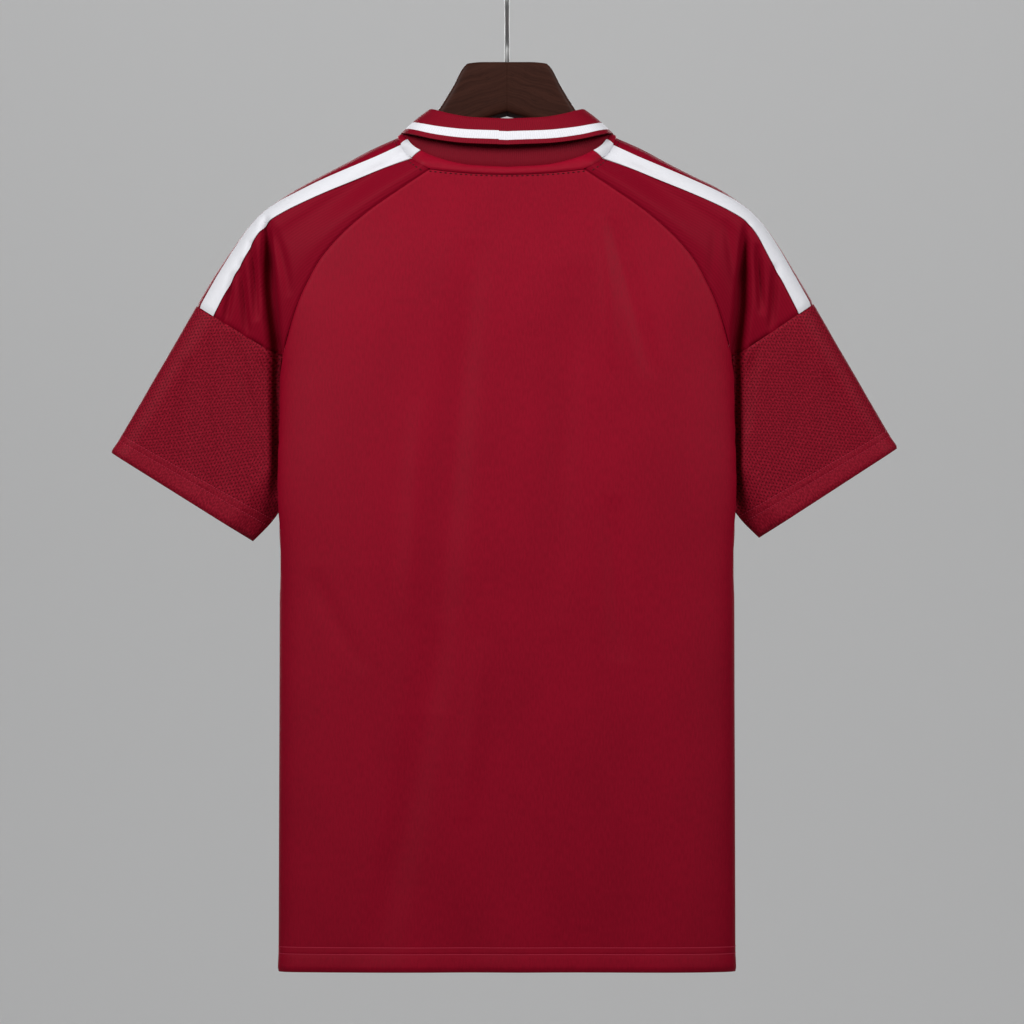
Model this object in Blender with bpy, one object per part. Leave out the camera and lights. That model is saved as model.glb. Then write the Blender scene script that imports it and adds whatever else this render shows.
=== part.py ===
"""A training polo shirt hanging on a wooden hanger. Metres, +Z up.

The origin is the inner top of the hook, where a rail carries everything.
The wearer's back faces -Y, the front faces +Y, and +X is the wearer's right.

The cloth is made as a maker sees it: panels that end at their seams. Three
short tables give its form. BODY has a row for each height of the body tube,
RIBS a row for each rib of a sleeve, from the ridge of the shoulder to the
seam, and NECK a row for each station round the neck. All three are in
millimetres, and a drop is a height below the origin.
"""

import math

import bpy
import numpy as np

MM = 0.001

# Driving dimensions.
CLOTH = 1.5 * MM  # wall of the knitted body and sleeves
COLLAR_KNIT = 1.8 * MM  # wall of the heavier flat knit of the collar
BINDING_WALL = 1.8 * MM
BINDING_ROLL = 1.2 * MM  # how far the middle of the binding stands out
TAPE_WALL = 1.0 * MM
PLACKET_WALL = 1.2 * MM
SEAM_GAP = 0.3 * MM  # between pieces that are sewn together
ARMHOLE_GAP = 1 * MM  # of the sleeve's wall, which meets the body at an angle
NECKLINE_GAP = 1.3 * MM  # of the binding's wall, for the same reason
CUFF_SEAM_GAP = 0.9 * MM  # between the upper and the lower sleeve's walls
COLLAR_GAP = 0.42 * MM  # of the collar's wall, which is centred on its points
LAID_GAP = 0.4 * MM  # under what lies on another piece
TAPE_CUT = 1.2 * MM  # the tape stops this far from the binding
HANGER_CURVE = 12 * MM  # how far the ends of the hanger bend to the front
HANGER_HALF_SPAN = 220 * MM
SQUARENESS = 3.5  # of the body's section: 2 is an ellipse, more is flatter
GROOVE = 12 * MM  # half width of the tuck under the arm
TUCK_SPREAD = 0.3  # share of the tuck that pushes its two folds outwards
VALLEY_WIDTH = 8 * MM  # of the deep fold between the body and the sleeve
INNER_REACH = 30 * MM  # how far from its inner fold a sleeve is full
INNER_POWER = 1.4  # 1 is a sharp inner fold, more is rounder
NECK_BOW = 5 * MM  # how far the neckline bows out over the shoulder
PLACKET_HALF_WIDTH = 14 * MM
PLACKET_LENGTH = 135 * MM
PLACKET_START = 2 * MM  # below the neckline
BUTTON_RADIUS = 5.6 * MM
BUTTON_THICK = 2.2 * MM
BUTTON_DISH = 0.7 * MM  # how deep the middle lies below the rim
BUTTON_RIM = 1.4 * MM
BUTTON_EDGE = 0.5 * MM
BUTTON_PITCH = 44 * MM
FIRST_BUTTON = 16 * MM  # from the top of the band
FOLD_RADIUS = 2.4 * MM  # of the collar's fold
WIRE_RADIUS = 2 * MM
HOOK_RADIUS = 18 * MM  # inside of the hook's arc
HOOK_TURN = (-20, 215)  # degrees, from the tip of the hook to where its arc ends
STEM_DROP = 62 * MM  # where the wire is straight from
STEM_BEND = 12 * MM  # how slowly the wire bends into its straight part
HANGER_TOP = 74 * MM  # drop of the wood's crown
WOOD_SIDES = 12

LOWER_VALLEY_X = 211 * MM
SEAM_HOLD = 4 * MM  # the valley leaves the seam alone this near it
SLEEVE_LEAN = (0.511, 0.86)  # outwards and down, along the sleeve
SHOULDER_EASE = 0.8  # share of a rib over which its depth eases to the seam's

# Columns of a half panel, as shares of the way from the centre line to the seam.
PANEL_SHARES = np.array([0, 0.22, 0.44, 0.64, 0.79, 0.87, 0.92, 0.955, 0.985, 1])
SLEEVE_COLUMNS = 7  # of a half rib, below the tape
LOWER_NEAR = np.array([0, 1, 5, 12]) * MM  # columns beside a sleeve's two folds
RING_STEPS = 400
PLACKET_ROWS, PLACKET_COLUMNS = 8, 5
SIDES = {"right": 1, "left": -1}
# The rows of the binding's loop that the tape crosses: on the left they count
# back from its end.
PATCH_ROWS = {"right": [6, 7, 8], "left": [-8, -7, -6]}
SLEEVE_HANG = {"right": -3 * MM, "left": 3 * MM}  # one cuff hangs a little lower


def columns(names, rows, unit=MM):
    """A short table as one array for each named column."""
    values = np.array(rows, float) * unit
    return dict(zip(names.split(), values.T))


# Half width at the edge, half depths behind and in front, and the tuck that
# the sleeves press into the sides, for the body at each height.
BODY = columns(
    "drop edge back front tuck",
    [
        (165, 212, 33, 40, 0),
        (200, 212, 34, 41, 0),
        (226, 212, 35, 42, 0),
        (260, 211, 37, 44, 0),
        (300, 209, 38.5, 45, 0),
        (341, 205.5, 39, 45, 1),
        (385, 205, 39.5, 45, 10),
        (449, 205, 40, 44, 22.9),
        (470, 205, 40, 44, 21),
        (500, 205, 40, 43.5, 12),
        (560, 205, 39, 42, 0),
        (690, 205, 37, 39, 0),
        (893.5, 205, 34, 35, 0),
    ],
)

# The upper sleeve: where each rib leaves the ridge, where it ends at the back
# and front raglan seams, its depth at the shoulder, the depth of the valley,
# the valley's place across, the tape's two edges from the ridge, and how far
# the same row of each panel dips at the centre line.
RIBS = columns(
    "ridge_x ridge_drop back_x back_drop front_x front_drop "
    "crown valley valley_x tape_from tape_to back_dip front_dip",
    [
        (98, 142, 68, 171.2, 66, 196, 13, 0, 222, 7.9, 24.5, 5, 30),
        (121.5, 152.6, 99.5, 192, 92, 212, 17, 0, 222, 6.6, 22.4, 2, 23),
        (145, 165.6, 124, 209, 116, 226, 19, 0, 222, 4.2, 18.6, 1, 19),
        (168.3, 177.9, 145, 226.5, 137, 240, 21, 0, 222, 2.3, 16.4, 0, 16),
        (190, 189.7, 160, 242, 154, 252.5, 22.5, 0, 222, 1.7, 14.9, 0, 13.5),
        (208, 199.9, 170, 255, 166, 264, 23, 0, 222, 1.5, 13.5, 0, 12),
        (222, 209.8, 178.5, 270, 176, 277, 23, 1, 221, 1.5, 11.4, 0, 10),
        (232, 222.3, 187, 287.5, 185.5, 293, 22, 7, 220, 1.2, 10.7, 0, 7),
        (243.5, 240.3, 193.5, 305.5, 192.5, 309, 20, 14, 219, 1, 11.8, 0, 5),
        (259, 265.5, 199, 324.5, 198.5, 326, 19, 15, 217, 1, 13.7, 0, 3),
        (275.5, 294.3, 203.4, 341, 203.4, 341, 18, 10, 212, 1, 14.9, 0, 2),
    ],
)

# The lower sleeve: the ridge, the inner end (on the armhole down to the
# underarm, then along the inner fold), the depth at that end, and the crown.
CUFF_RIBS = columns(
    "ridge_x ridge_drop inner_x inner_drop inner_depth crown valley",
    [
        (275.5, 294.3, 203.4, 341, 0, 18, 10),
        (285.5, 311, 203, 362, 9.5, 18, 8),
        (296, 329, 201, 385, 8, 17.5, 6),
        (306.5, 346.5, 197, 408, 6, 17, 4),
        (317, 364, 193, 430, 3.5, 16.5, 2),
        (327, 381, 189, 449, 0.6, 16, 0),
        (336, 396, 198.5, 468, 0.6, 15.5, 0),
        (345, 411, 212, 488, 0.6, 15, 0),
        (353.7, 425.4, 229.5, 506, 0.6, 15, 0),
    ],
)
UNDERARM = 5  # the row of CUFF_RIBS at the underarm
LOWER_BODY_DROPS = np.array([470, 495, 525, 560, 630, 710, 800, 893.5]) * MM

# Round the neck from the centre of the back to the centre of the front: the
# neck seam, the fold of the collar, and the lower edge of its leaf.
NECK = columns(
    "seam_x seam_y seam_drop fold_x fold_y fold_drop edge_x edge_y edge_drop",
    [
        (0, -31.5, 168.5, 0, -26, 126.2, 0, -43, 149.2),
        (32, -31, 166.8, 30, -25, 125, 36, -42, 147.8),
        (60.8, -27.5, 160.9, 53, -19.5, 121.5, 68, -35, 143.8),
        (76.5, -20.5, 154.5, 63, -13, 119, 84, -25, 141),
        (88.3, -10, 144.9, 69, -4.5, 117.8, 94.5, -11, 138.6),
        (92.7, 1.5, 139.7, 70, 4, 118.5, 96.3, 3, 138.3),
        (90, 12, 147.5, 68, 12, 123, 97, 15, 147),
        (77, 25, 168, 57, 26, 140, 93, 38, 169),
        (59, 33, 190, 43, 36, 161, 84, 51, 198),
        (32, 38.5, 210, 24, 43.5, 183, 69, 53, 225),
        (0, 40.5, 218, 4.5, 47, 203, 48, 50, 252),
    ],
)

LAST_STATION = 10
ASIDE = 0.2  # of a station, to either side of one whose tangent is taken
LEAF_SHARES = (0.33, 0.67)  # where the leaf has points between its fold and its edge

# The wood at each place along it: top and bottom drop, half depth, and how
# square its section is.
WOOD = columns(
    "x top bottom depth square",
    [
        (0, 74, 118, 8, 6),
        (21, 75.9, 125, 8.2, 6),
        (35, 78.6, 133, 8.6, 6),
        (39.5, 81.5, 136, 8.8, 6),
        (48.6, 95.6, 142, 9.2, 5),
        (62.6, 118, 152, 9.6, 4),
        (72, 130, 158.5, 9.8, 3.5),
        (83, 142, 165.5, 9.5, 3),
        (98, 151, 174, 9, 2.5),
        (121.5, 157, 186, 12, 2),
        (145, 169.5, 197.5, 14.5, 2),
        (168.3, 181.5, 208.5, 16.5, 2),
        (190, 193.5, 218.5, 17, 2),
        (208, 204, 226, 15, 2),
        (216, 210.5, 227.5, 11.5, 2),
        (220, 216, 225, 7, 2),
    ],
)


# ---------------------------------------------------------------- curves


def smooth(at, xs, ys):
    """Monotone cubic interpolation, which passes each (x, y) with no overshoot."""
    xs, ys = np.asarray(xs, float), np.asarray(ys, float)
    steps = np.diff(xs)
    slopes = np.diff(ys) / steps
    tangents = np.zeros(len(xs))
    tangents[0], tangents[-1] = slopes[0], slopes[-1]
    both = slopes[:-1] * slopes[1:]
    same_way = both > 0
    mean = np.where(same_way, slopes[:-1] + slopes[1:], 1)
    tangents[1:-1] = np.where(same_way, 2 * both / mean, 0)
    at = np.clip(at, xs[0], xs[-1])
    i = np.clip(np.searchsorted(xs, at) - 1, 0, len(xs) - 2)
    t = (at - xs[i]) / steps[i]
    return (
        (1 + 2 * t) * (1 - t) ** 2 * ys[i]
        + t * (1 - t) ** 2 * steps[i] * tangents[i]
        + t**2 * (3 - 2 * t) * ys[i + 1]
        + t**2 * (t - 1) * steps[i] * tangents[i + 1]
    )


def lengths(path):
    """Distance along a path to each of its points."""
    steps = np.linalg.norm(np.diff(path, axis=0), axis=1)
    return np.concatenate([[0], np.cumsum(steps)])


def points_at(path, distances):
    along = lengths(path)
    return np.stack([np.interp(distances, along, path[:, k]) for k in range(3)], axis=1)


def forward(x):
    """How far the hanger's curve carries the middle of the garment to the front."""
    share = np.minimum(np.abs(x) / HANGER_HALF_SPAN, 1)
    return HANGER_CURVE * share**2


def quarter_round(distance, reach):
    """Rises from 0 to 1 as a quarter circle does, over the reach."""
    return np.sqrt(1 - (1 - np.clip(distance / reach, 0, 1)) ** 2)


# ---------------------------------------------------------------- the body


def ring(drop, face):
    """Width and depth of the body from the centre line to the side, at one height."""
    turn = np.linspace(math.pi / 2, 0, RING_STEPS)
    tuck = smooth(drop, BODY["drop"], BODY["tuck"])
    edge = smooth(drop, BODY["drop"], BODY["edge"]) + TUCK_SPREAD * tuck
    depth = smooth(drop, BODY["drop"], BODY["back" if face < 0 else "front"])
    power = 2 / SQUARENESS
    wide = edge * np.clip(np.cos(turn), 0, 1) ** power
    deep = depth * np.clip(np.sin(turn), 0, 1) ** power
    return wide - tuck * np.exp(-((deep / GROOVE) ** 2)), deep


def half_row(drop, dip, face, seam_x=None, seam_depth=0.0):
    """A row of a panel from the centre line to its seam, at one height."""
    wide, deep = ring(drop, face)
    kept = wide < seam_x if seam_x else deep > seam_depth
    last = int(np.argmin(kept)) if not kept.all() else len(kept) - 1
    if seam_x:
        share = (seam_x - wide[last - 1]) / (wide[last] - wide[last - 1])
    else:
        share = (seam_depth - deep[last - 1]) / (deep[last] - deep[last - 1])
    wide, deep = (
        np.append(v[:last], v[last - 1] + share * (v[last] - v[last - 1]))
        for v in (wide, deep)
    )
    down = drop + dip * (1 - (wide / wide[-1]) ** 2) if dip else np.full(len(wide), drop)
    return np.stack([wide, forward(wide) + face * deep, -down], axis=1)


def panel_rows(face):
    """(drop, dip, seam_x, seam_depth) of each row, from the neckline to the hem."""
    name = "back" if face < 0 else "front"
    upper = zip(RIBS[name + "_drop"], RIBS[name + "_dip"], RIBS[name + "_x"])
    rows = [(drop, dip, seam_x, 0.0) for drop, dip, seam_x in upper]
    armhole = range(1, UNDERARM + 1)
    rows += [
        (CUFF_RIBS["inner_drop"][k], 0, None, CUFF_RIBS["inner_depth"][k]) for k in armhole
    ]
    return rows + [(drop, 0, None, 0.0) for drop in LOWER_BODY_DROPS]


def panel_grid(face, inset=SEAM_GAP):
    """A front or back panel: a row of points for each height, seam to seam."""
    grid = []
    for drop, dip, seam_x, seam_depth in panel_rows(face):
        half = half_row(drop, dip, face, seam_x, seam_depth)
        total = lengths(half)[-1] - inset
        half = points_at(half, PANEL_SHARES * total)
        mirrored = half[:0:-1] * (-1, 1, 1)
        grid.append(np.concatenate([mirrored, half]))
    return np.array(grid)


# ---------------------------------------------------------------- the sleeves


def rib_ends(rib):
    """The rib's ends at the ridge and at the seam, across and up, and its length."""
    start = np.array([rib["ridge_x"], -rib["ridge_drop"]])
    end = np.array([rib["seam_x"], -rib["seam_drop"]])
    return start, end, np.linalg.norm(end - start)


def half_rib(rib, face, distances, upper=True):
    """Half a rib of a sleeve, at distances from the ridge on one face.

    The ridge is rounded to the crown's depth. An upper rib then hangs to the
    depth of its seam, and a lower one closes round its inner fold. The valley
    is pressed in last.
    """
    start, end, length = rib_ends(rib)
    s = np.asarray(distances, float)
    share = (s / length)[:, None]
    along = (end - start) / length
    aside = np.array([along[1], -along[0]])
    xz = start + (end - start) * share - aside * rib["bow"] * np.sin(math.pi * share)
    crown, seam_depth = rib["crown"], rib["seam_depth"]
    depth = crown * quarter_round(s, crown)
    if upper:
        rest = np.clip((s - crown) / (length - crown) / SHOULDER_EASE, 0, 1)
        depth = depth + (seam_depth - crown) * rest**2 * (3 - 2 * rest)
    else:
        inner = 1 - (1 - np.clip((length - s) / INNER_REACH, 0, 1)) ** INNER_POWER
        depth = np.minimum(depth, seam_depth + (crown - seam_depth) * inner)
    valley_at = length * (start[0] - rib["valley_x"]) / (start[0] - end[0])
    trough = np.exp(-(((s - valley_at) / VALLEY_WIDTH) ** 2))
    held = 1 - np.exp(-(((length - s) / SEAM_HOLD) ** 2))
    depth = depth - rib["valley"] * trough * held
    return np.stack([xz[:, 0], forward(xz[:, 0]) + face * depth, xz[:, 1]], axis=1)


def upper_rib(k, face):
    """Row k of RIBS as the rib of one face, with its seam on the body."""
    name = "back" if face < 0 else "front"
    rib = {key: RIBS[key][k] for key in RIBS}
    seam = half_row(rib[name + "_drop"], 0, face, rib[name + "_x"])[-1]
    rib["seam_x"], rib["seam_drop"] = seam[0], -seam[2]
    rib["seam_depth"] = face * (seam[1] - forward(seam[0]))
    rib["bow"] = NECK_BOW if k == 0 else 0.0
    return rib


def lower_rib(k, face, hang):
    """Row k of CUFF_RIBS as the rib of one face, on a cuff that hangs lower."""
    rib = {key: CUFF_RIBS[key][k] for key in CUFF_RIBS}
    rib["bow"] = 0.0
    rib["valley_x"] = LOWER_VALLEY_X
    rib["seam_depth"] = rib["inner_depth"]
    last = len(CUFF_RIBS["crown"]) - 1
    ridge_hang = hang * k / last
    rib["ridge_x"] += ridge_hang * SLEEVE_LEAN[0]
    rib["ridge_drop"] += ridge_hang * SLEEVE_LEAN[1]
    if k < UNDERARM:
        seam = half_row(rib["inner_drop"], 0, face, None, rib["inner_depth"])[-1]
        rib["seam_x"], rib["seam_drop"] = seam[0], -seam[2]
    else:
        inner_hang = hang * (k - UNDERARM) / (last - UNDERARM)
        rib["seam_x"] = rib["inner_x"] + inner_hang * SLEEVE_LEAN[0]
        rib["seam_drop"] = rib["inner_drop"] + inner_hang * SLEEVE_LEAN[1]
    return rib


def whole_rib(back, front, near, upper):
    """A rib from the back seam over the ridge to the front seam."""
    halves = []
    for rib, face in ((back, -1), (front, 1)):
        on_body = rib["seam_depth"] > MM
        length = rib_ends(rib)[2] - on_body * (SEAM_GAP if upper else ARMHOLE_GAP)
        if upper:
            rest = np.linspace(near[-1], length, SLEEVE_COLUMNS + 1)[1:]
        else:
            rest = np.linspace(near[-1], length - near[-1], SLEEVE_COLUMNS - 1)[1:]
            rest = np.concatenate([rest, length - near[-2::-1]])
        halves.append(half_rib(rib, face, np.concatenate([near, rest]), upper))
    return np.concatenate([halves[0][::-1], halves[1][1:]])


def upper_near(k):
    """The columns of rib k from the ridge to the tape's lower edge."""
    start, stop = RIBS["tape_from"][k], RIBS["tape_to"][k]
    return np.array([0, start, 0.6 * start + 0.4 * stop, stop])


def upper_sleeve_grid():
    count = len(RIBS["crown"])
    return np.array(
        [whole_rib(upper_rib(k, -1), upper_rib(k, 1), upper_near(k), True) for k in range(count)]
    )


def lower_sleeve_grid(hang):
    last = len(RIBS["crown"]) - 1
    first = whole_rib(upper_rib(last, -1), upper_rib(last, 1), LOWER_NEAR, False)
    ribs = [
        whole_rib(lower_rib(k, -1, hang), lower_rib(k, 1, hang), LOWER_NEAR, False)
        for k in range(1, len(CUFF_RIBS["crown"]))
    ]
    step = np.linalg.norm(ribs[0] - first, axis=1)[:, None]
    first = first + (ribs[0] - first) * CUFF_SEAM_GAP / step
    return np.array([first] + ribs)


# ---------------------------------------------------------------- the neck


def neckline(station):
    """A point of the neckline, where the binding meets the panels."""
    back, front = upper_rib(0, -1), upper_rib(0, 1)
    if station < 2 or station > LAST_STATION - 2:
        face = -1 if station < 2 else 1
        rib = back if face < 0 else front
        dip = RIBS["back_dip" if face < 0 else "front_dip"][0]
        row = half_row(rib["seam_drop"], dip, face, rib["seam_x"])
        share = (station if face < 0 else LAST_STATION - station) / 2
        across = share * rib["seam_x"]
        return np.array([np.interp(across, row[:, 0], row[:, k]) for k in range(3)])
    if station <= 5:
        places = [rib_ends(back)[2], back["tape_to"], back["tape_from"], 0]
        s = np.interp(station, [2, 3, 4, 5], places)
        return half_rib(back, -1, [s])[0]
    s = np.interp(station, [5, 6, 7, 8], [0, 12 * MM, 38 * MM, rib_ends(front)[2]])
    return half_rib(front, 1, [s])[0]


def neck_point(name, station):
    """A point of one of the NECK table's three lines."""
    rows = np.arange(len(NECK["seam_x"]))
    x, y, drop = (smooth(station, rows, NECK[f"{name}_{k}"]) for k in ("x", "y", "drop"))
    return np.array([x, y, -drop])


def outward(tangent, across):
    """The unit normal of a strip, away from the middle of the neck."""
    normal = np.cross(tangent, across)
    return normal / np.linalg.norm(normal)


def unit(vector):
    return vector / np.linalg.norm(vector)


def neck_tangent(name, station):
    """The way that one of the three lines runs at a station."""
    ahead, behind = min(station + ASIDE, LAST_STATION), max(station - ASIDE, 0)
    return neck_point(name, ahead) - neck_point(name, behind)


def binding_section(station):
    """The binding across, from the panels to the neck seam."""
    low, high = neckline(station), neck_point("seam", station)
    tangent = neck_tangent("seam", station)
    across = unit(high - low)
    low, high = low + across * NECKLINE_GAP, high - across * SEAM_GAP
    out = outward(tangent, across)
    middle = (low + high) / 2 + out * BINDING_ROLL
    return [low, middle, high]


def collar_section(station):
    """The collar across: up from the neck seam, over its fold and down the leaf."""
    seam, fold, edge = (neck_point(n, station) for n in ("seam", "fold", "edge"))
    tangent = neck_tangent("fold", station)
    up = unit(fold - (seam + edge) / 2)
    out = outward(tangent, up)
    inner = fold - (out + up) * FOLD_RADIUS
    outer = fold + (out - up) * FOLD_RADIUS
    seam = seam + unit(inner - seam) * COLLAR_GAP - out * COLLAR_KNIT / 2
    stand = seam + (inner - seam) / 2
    leaf = [outer + (edge - outer) * share for share in LEAF_SHARES]
    return [seam, stand, inner, fold, outer, *leaf, edge]


# ---------------------------------------------------------------- Blender


def finish(name, colour, roughness, metallic=0.0):
    material = bpy.data.materials.new(name)
    material.use_nodes = True
    shader = material.node_tree.nodes["Principled BSDF"]
    shader.inputs["Base Color"].default_value = (*colour, 1)
    shader.inputs["Roughness"].default_value = roughness
    shader.inputs["Metallic"].default_value = metallic
    return material


def add_object(name, vertices, faces, material):
    mesh = bpy.data.meshes.new(name)
    mesh.from_pydata([tuple(v) for v in vertices], [], faces)
    mesh.materials.append(material)
    mesh.validate()
    mesh.shade_smooth()
    made = bpy.data.objects.new(name, mesh)
    bpy.context.scene.collection.objects.link(made)
    return made


def grid_faces(rows, cols, turned, closed=False):
    faces = []
    for i in range(rows if closed else rows - 1):
        for j in range(cols - 1):
            a, b = i * cols + j, i * cols + j + 1
            c, d = (i + 1) % rows * cols + j + 1, (i + 1) % rows * cols + j
            faces.append((a, d, c, b) if turned else (a, b, c, d))
    return faces


def sheet(name, grid, wall, material, turned=False, offset=-1.0, closed=False):
    """A cloth piece: a grid of points on its outer side, with its wall inside."""
    rows, cols, _ = grid.shape
    piece = add_object(
        name, grid.reshape(-1, 3), grid_faces(rows, cols, turned, closed), material
    )
    wall_modifier = piece.modifiers.new("wall", "SOLIDIFY")
    wall_modifier.thickness = wall
    wall_modifier.offset = offset
    wall_modifier.use_even_offset = False
    return piece


def moved_out(grid, distance, sign):
    """The grid's points moved along its own normals."""
    across = np.gradient(grid, axis=1)
    down = np.gradient(grid, axis=0)
    normal = np.cross(down, across) * sign
    normal /= np.linalg.norm(normal, axis=2, keepdims=True)
    return grid + normal * distance


def cut_back(grid, distance):
    """The grid with its first row moved towards its second."""
    step = grid[1] - grid[0]
    cut = grid.copy()
    cut[0] += step * distance / np.linalg.norm(step, axis=1, keepdims=True)
    return cut


def remove_scene_objects():
    for old in list(bpy.data.objects):
        bpy.data.objects.remove(old, do_unlink=True)


def build_panels(knit):
    sheet("back_panel", panel_grid(-1), CLOTH, knit, turned=True)
    sheet("front_panel", panel_grid(1), CLOTH, knit)


def build_sleeves(knit, mesh_knit, white):
    for side, sign in SIDES.items():
        turned = sign > 0
        mirror = (sign, 1, 1)
        upper = upper_sleeve_grid() * mirror
        sheet(f"sleeve_upper_{side}", upper, CLOTH, knit, turned)
        lower = lower_sleeve_grid(SLEEVE_HANG[side]) * mirror
        sheet(f"sleeve_lower_{side}", lower, CLOTH, mesh_knit, turned)
        columns_of_tape = slice(SLEEVE_COLUMNS, SLEEVE_COLUMNS + 3)
        tape = moved_out(upper, LAID_GAP, sign)[:, columns_of_tape]
        tape = cut_back(tape, TAPE_CUT)
        sheet(f"shoulder_tape_{side}", tape, TAPE_WALL, white, turned, offset=1.0)


def build_neck(knit, rib_knit, white):
    stations = np.linspace(0, LAST_STATION, 2 * LAST_STATION + 1)
    half = np.array([binding_section(s) for s in stations])
    loop = np.concatenate([half, half[-2:0:-1] * (-1, 1, 1)])
    sheet("neck_binding", loop, BINDING_WALL, knit, turned=True, closed=True)
    out = moved_out(loop, LAID_GAP, 1)
    for side, rows in PATCH_ROWS.items():
        patch = cut_back(out[rows].transpose(1, 0, 2), TAPE_CUT / 2).transpose(1, 0, 2)
        sheet(f"binding_patch_{side}", patch, TAPE_WALL, white, turned=True, offset=1.0)
    half = np.array([collar_section(s) for s in stations])
    whole = np.concatenate([half[:0:-1] * (-1, 1, 1), half])
    sheet("collar", whole, COLLAR_KNIT, rib_knit, offset=0.0)


def build_placket(knit):
    """The band down the front opening, from points of the front panel's own form."""
    top = RIBS["front_drop"][0] + RIBS["front_dip"][0] + PLACKET_START
    across = np.linspace(-PLACKET_HALF_WIDTH, PLACKET_HALF_WIDTH, PLACKET_COLUMNS)
    grid = []
    for drop in np.linspace(top, top + PLACKET_LENGTH, PLACKET_ROWS):
        wide, deep = ring(drop, 1)
        depth = np.interp(np.abs(across), wide, deep) + forward(across)
        grid.append(np.stack([across, depth, np.full(PLACKET_COLUMNS, -drop)], axis=1))
    grid = moved_out(np.array(grid), 1.5 * LAID_GAP, -1)
    sheet("placket_band", grid, PLACKET_WALL, knit, offset=1.0)
    return grid[:, PLACKET_COLUMNS // 2] + (0, PLACKET_WALL, 0)


def build_buttons(middle_line, finish_of_button):
    """Turned discs with a raised rim, on the middle line of the band."""
    rim, edge, top = BUTTON_RADIUS, BUTTON_EDGE, BUTTON_THICK
    profile = [
        (0, top - BUTTON_DISH),
        (rim - BUTTON_RIM - BUTTON_DISH, top - BUTTON_DISH),
        (rim - BUTTON_RIM, top),
        (rim - edge, top),
        (rim, top - edge),
        (rim, edge),
        (rim - edge, 0),
        (0, 0),
    ]
    for number in range(3):
        drop = -middle_line[0][2] + FIRST_BUTTON + number * BUTTON_PITCH
        y = np.interp(drop, -middle_line[:, 2], middle_line[:, 1])
        vertices = [(x, 0, z) for x, z in profile]
        edges = [(k, k + 1) for k in range(len(profile) - 1)]
        mesh = bpy.data.meshes.new(f"button_{number + 1}")
        mesh.from_pydata(vertices, edges, [])
        mesh.materials.append(finish_of_button)
        button = bpy.data.objects.new(mesh.name, mesh)
        bpy.context.scene.collection.objects.link(button)
        turn = button.modifiers.new("turn", "SCREW")
        turn.steps = turn.render_steps = 18
        turn.use_merge_vertices = True
        turn.merge_threshold = 0.00005
        button.location = (0, y + LAID_GAP, -drop)
        button.rotation_euler = (-math.pi / 2, 0, 0)


def wood_section(x):
    """The wood across at one place: a rounded section between its top and bottom."""
    row = {k: smooth(abs(x), WOOD["x"], WOOD[k]) for k in WOOD}
    power = 2 * MM / row["square"]
    angles = (np.arange(WOOD_SIDES) + 0.5) * 2 * math.pi / WOOD_SIDES
    half_height = (row["bottom"] - row["top"]) / 2
    middle = (row["bottom"] + row["top"]) / 2
    y = forward(x) + row["depth"] * np.sign(np.cos(angles)) * np.abs(np.cos(angles)) ** power
    z = -middle + half_height * np.sign(np.sin(angles)) * np.abs(np.sin(angles)) ** power
    return np.stack([np.full(len(angles), x), y, z], axis=1)


def build_hanger(wood):
    places = np.concatenate([-WOOD["x"][:0:-1], WOOD["x"]])
    grid = np.array([wood_section(x) for x in places])
    rows, cols, _ = grid.shape
    faces = []
    for start in range(0, (rows - 1) * cols, cols):
        for j in range(cols):
            here, beside = start + j, start + (j + 1) % cols
            faces.append((here, beside, beside + cols, here + cols))
    first, last = tuple(range(cols)), tuple(range((rows - 1) * cols, rows * cols))
    hanger = add_object("hanger", grid.reshape(-1, 3), faces + [first[::-1], last], wood)
    hanger.data.set_sharp_from_angle(angle=math.radians(40))


def build_hook(steel):
    """A wire that rises straight from the wood and turns over a rail."""
    radius = HOOK_RADIUS + WIRE_RADIUS
    centre = -HOOK_RADIUS
    turn = np.radians(np.linspace(*HOOK_TURN, 24))
    arc = [(radius * math.cos(a), centre + radius * math.sin(a)) for a in turn]
    leave, foot = np.array(arc[-1]), np.array([0, -STEM_DROP])
    heading = np.array([-math.sin(turn[-1]), math.cos(turn[-1])])
    sweep = []
    for t in np.linspace(0, 1, 11)[1:]:
        first, second = leave + heading * STEM_BEND, foot + (0, STEM_BEND)
        sweep.append(
            (1 - t) ** 3 * leave
            + 3 * t * (1 - t) ** 2 * first
            + 3 * t**2 * (1 - t) * second
            + t**3 * foot
        )
    route = arc + [tuple(p) for p in sweep] + [(0, SEAM_GAP - HANGER_TOP)]
    curve = bpy.data.curves.new("hanger_hook", "CURVE")
    curve.dimensions = "3D"
    curve.bevel_depth = WIRE_RADIUS
    curve.bevel_resolution = 3
    curve.use_fill_caps = True
    curve.materials.append(steel)
    spline = curve.splines.new("POLY")
    spline.points.add(len(route) - 1)
    for point, (y, z) in zip(spline.points, route):
        point.co = (0, y, z, 1)
    hook = bpy.data.objects.new("hanger_hook", curve)
    bpy.context.scene.collection.objects.link(hook)


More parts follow.
